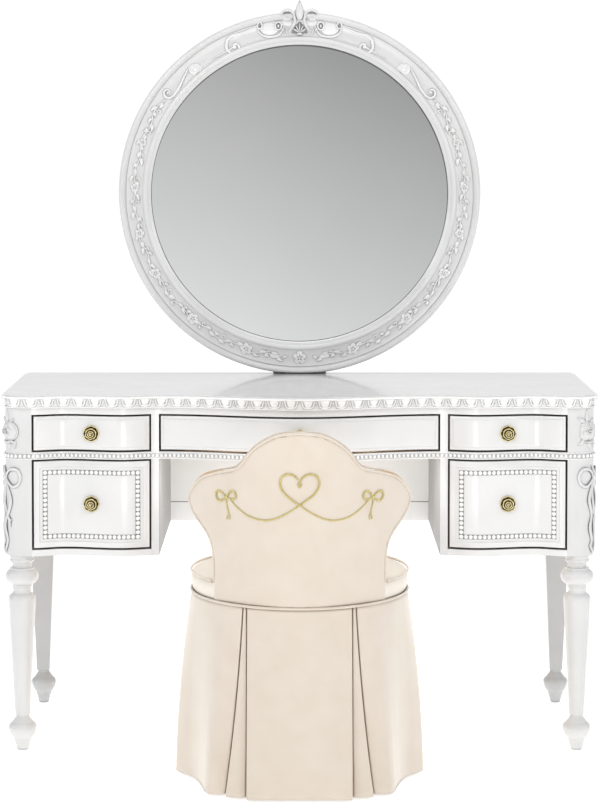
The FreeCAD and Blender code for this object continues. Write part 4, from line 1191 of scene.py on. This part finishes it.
def make_seat():
    """Round seat: a boxing band between two welts and a crowned top."""
    angles = np.linspace(0, 360, 96, endpoint=False)

    def ring(grow, z):
        return [oval(t, SEAT_A + grow, SEAT_B + grow, z) for t in angles]

    rows = [ring(-6, SEAT_Z0 + 0.3), ring(-0.5, SEAT_Z0 + 0.05), ring(-0.1, SEAT_Z0 + 0.5),
            ring(0.06, SEAT_Z0 + 1.7), ring(-0.08, SEAT_Z1 - 0.4), ring(-0.35, SEAT_Z1 - 0.02)]
    for k in (0.97, 0.93, 0.87, 0.78, 0.66, 0.5, 0.32, 0.14):
        rows.append([oval(t, SEAT_A * k, SEAT_B * k, SEAT_Z1 + 1 - k ** 2.4) for t in angles])
    seat = make_cloth("seat_upholstery", solid(rows), ["seat_cushion", "seat_band"], LIT_SEAT_CLOTH)

    def pinned(co):
        x, y, z = co
        out = hypot(x / SEAT_A, (y - SEAT_Y) / SEAT_B)
        under_back = y < SEAT_Y - 0.62 * SEAT_B
        return float(z < SEAT_Z0 + 0.5 or (out > 0.94 and z < SEAT_Z1 + 0.1) or under_back)

    inflate(seat, 0.45, pinned, 0.6, 3.5)
    # Hold the rear of the seat 0.8 mm inside the chair back, or it would show through.
    for v in seat.data.vertices:
        x, y, z = v.co / MM
        rear = on_back(x, z, -0.8)[1]
        if abs(x) < 14 and z > BACK_FOOT - 0.1 and y < rear:
            v.co.y = rear * MM

    # The upper welt starts and ends at the chair back, and the lower one goes all the way round.
    welts = (("upper", SEAT_Z1, 52, ["seat_piping"]), ("lower", SEAT_Z0 + 0.1, 0, ()))
    for name, z, first, replaces in welts:
        span = 360 - 2 * first
        line = [oval(first + span * i / 140, SEAT_A + 0.06, SEAT_B + 0.06, z) for i in range(141)]
        make_cloth("seat_welt_" + name, tube(line, (0.22,), 10), replaces)


# Skirt, a quarter of its plan from the rear middle: x and y at the top, x and y at the hem, all from
# the middle of the seat, and how the fall bellies out (+) or hangs in (-) between them.
SKIRT_TOP_Z = 32.05
SKIRT_HEM_Z = 0.45
REAR_PANEL = [(0, -19.6, 0, -19.35, 0), (3, -19.35, 3, -19.35, 0),
              (6, -18.6, 6, -19.35, 0), (8.2, -17.55, 8.3, -19.33, 0),
              (8.55, -17.35, 8.65, -19.25, 0)]
PLEATS = [(8.62, -16.9, 8.72, -18.6, 0), (8.62, -15.9, 8.72, -17.5, 0),
          (8.76, -15.9, 8.9, -17.5, 0), (8.78, -16.95, 8.95, -17.7, 0),
          (8.92, -17.05, 9.2, -17.85, -0.45), (9, -17, 10.6, -17.75, -0.45),
          (9.08, -16.95, 12, -17.35, -0.45), (9.18, -16.85, 12.16, -17.2, -0.45),
          (9.22, -15.8, 12.24, -15.45, -0.45), (9.34, -15.8, 12.38, -15.4, -0.45),
          (9.36, -16.75, 12.42, -15.6, -0.45)]
FLANK = [(9.45, -16.85, 12.6, -15.75, -0.45), (10.6, -16.15, 14.2, -15.65, -0.3),
         (11.9, -15.2, 15.2, -15.2, 0), (13.2, -13.85, 15.75, -13.6, 0.3),
         (14.6, -12.1, 16.15, -11.2, 0.5), (15.9, -10, 17.1, -7.8, 0.65),
         (17.1, -7.2, 18.6, -4.4, 0.75), (17.95, -4.2, 20.2, -1.9, 0.77),
         (18.4, 0, 21.25, 0, 0.77)]


def skirt_plan(t):
    """Plan of the skirt at a fraction of its drop, all the way round."""
    def at(stations):
        out = []
        for x0, y0, x1, y1, belly in stations:
            f = t + belly * t * (1 - t)
            out.append(np.array((x0, y0)) * (1 - f) + np.array((x1, y1)) * f)
        return out

    rear, pleats, flank = at(REAR_PANEL), at(PLEATS), at(FLANK)
    per = 5
    rear = smooth_path([rear[1] * (-1, 1)] + rear, per)[per:]
    flank = smooth_path(flank + [flank[-2] * (1, -1)], per)[:-per]
    ripple = []
    for x, y in flank:
        turn = atan2(y, x)
        wave = 0.16 * t * t * sin(9 * turn + 1) * min(1, (len(flank) - len(ripple) - 1) / 8)
        ripple.append(np.array((x + wave * cos(turn), y + wave * sin(turn))))
    quarter = list(rear) + pleats + ripple
    half = quarter + [p * (1, -1) for p in quarter[-2::-1]]
    return half + [p * (-1, 1) for p in half[-2:0:-1]]


def make_skirt():
    """Gathered skirt: a flat panel front and rear, knife pleats beside it and flaring flanks."""
    rows = []
    for t in np.linspace(0, 1, 41):
        z = SKIRT_TOP_Z + (SKIRT_HEM_Z - SKIRT_TOP_Z) * t
        rows.append([(x, SEAT_Y + y, z) for x, y in skirt_plan(t)])
    skirt = make_cloth("pleated_skirt", Shape().grid(rows, wrap=True), ["skirt"])
    thick = skirt.modifiers.new("thickness", "SOLIDIFY")
    thick.thickness = 0.2 * MM
    thick.offset = -1


# ---- Build
make_camera()
make_studio()
dress_cad_nodes()
make_top_moulding()
make_pearl_rail()
make_rail_joint()
make_kneehole_skins()
for drawer in ("upper_left", "upper_right", "center", "lower_left", "lower_right"):
    framed = drawer.startswith("lower")
    make_drawer_front("drawer_" + drawer, FRAMED_RELIEF if framed else PLAIN_RELIEF, framed)
    make_knob("drawer_" + drawer)
make_mirror()
make_post_ornaments()
make_seat()
make_embroidery(make_back())
make_skirt()
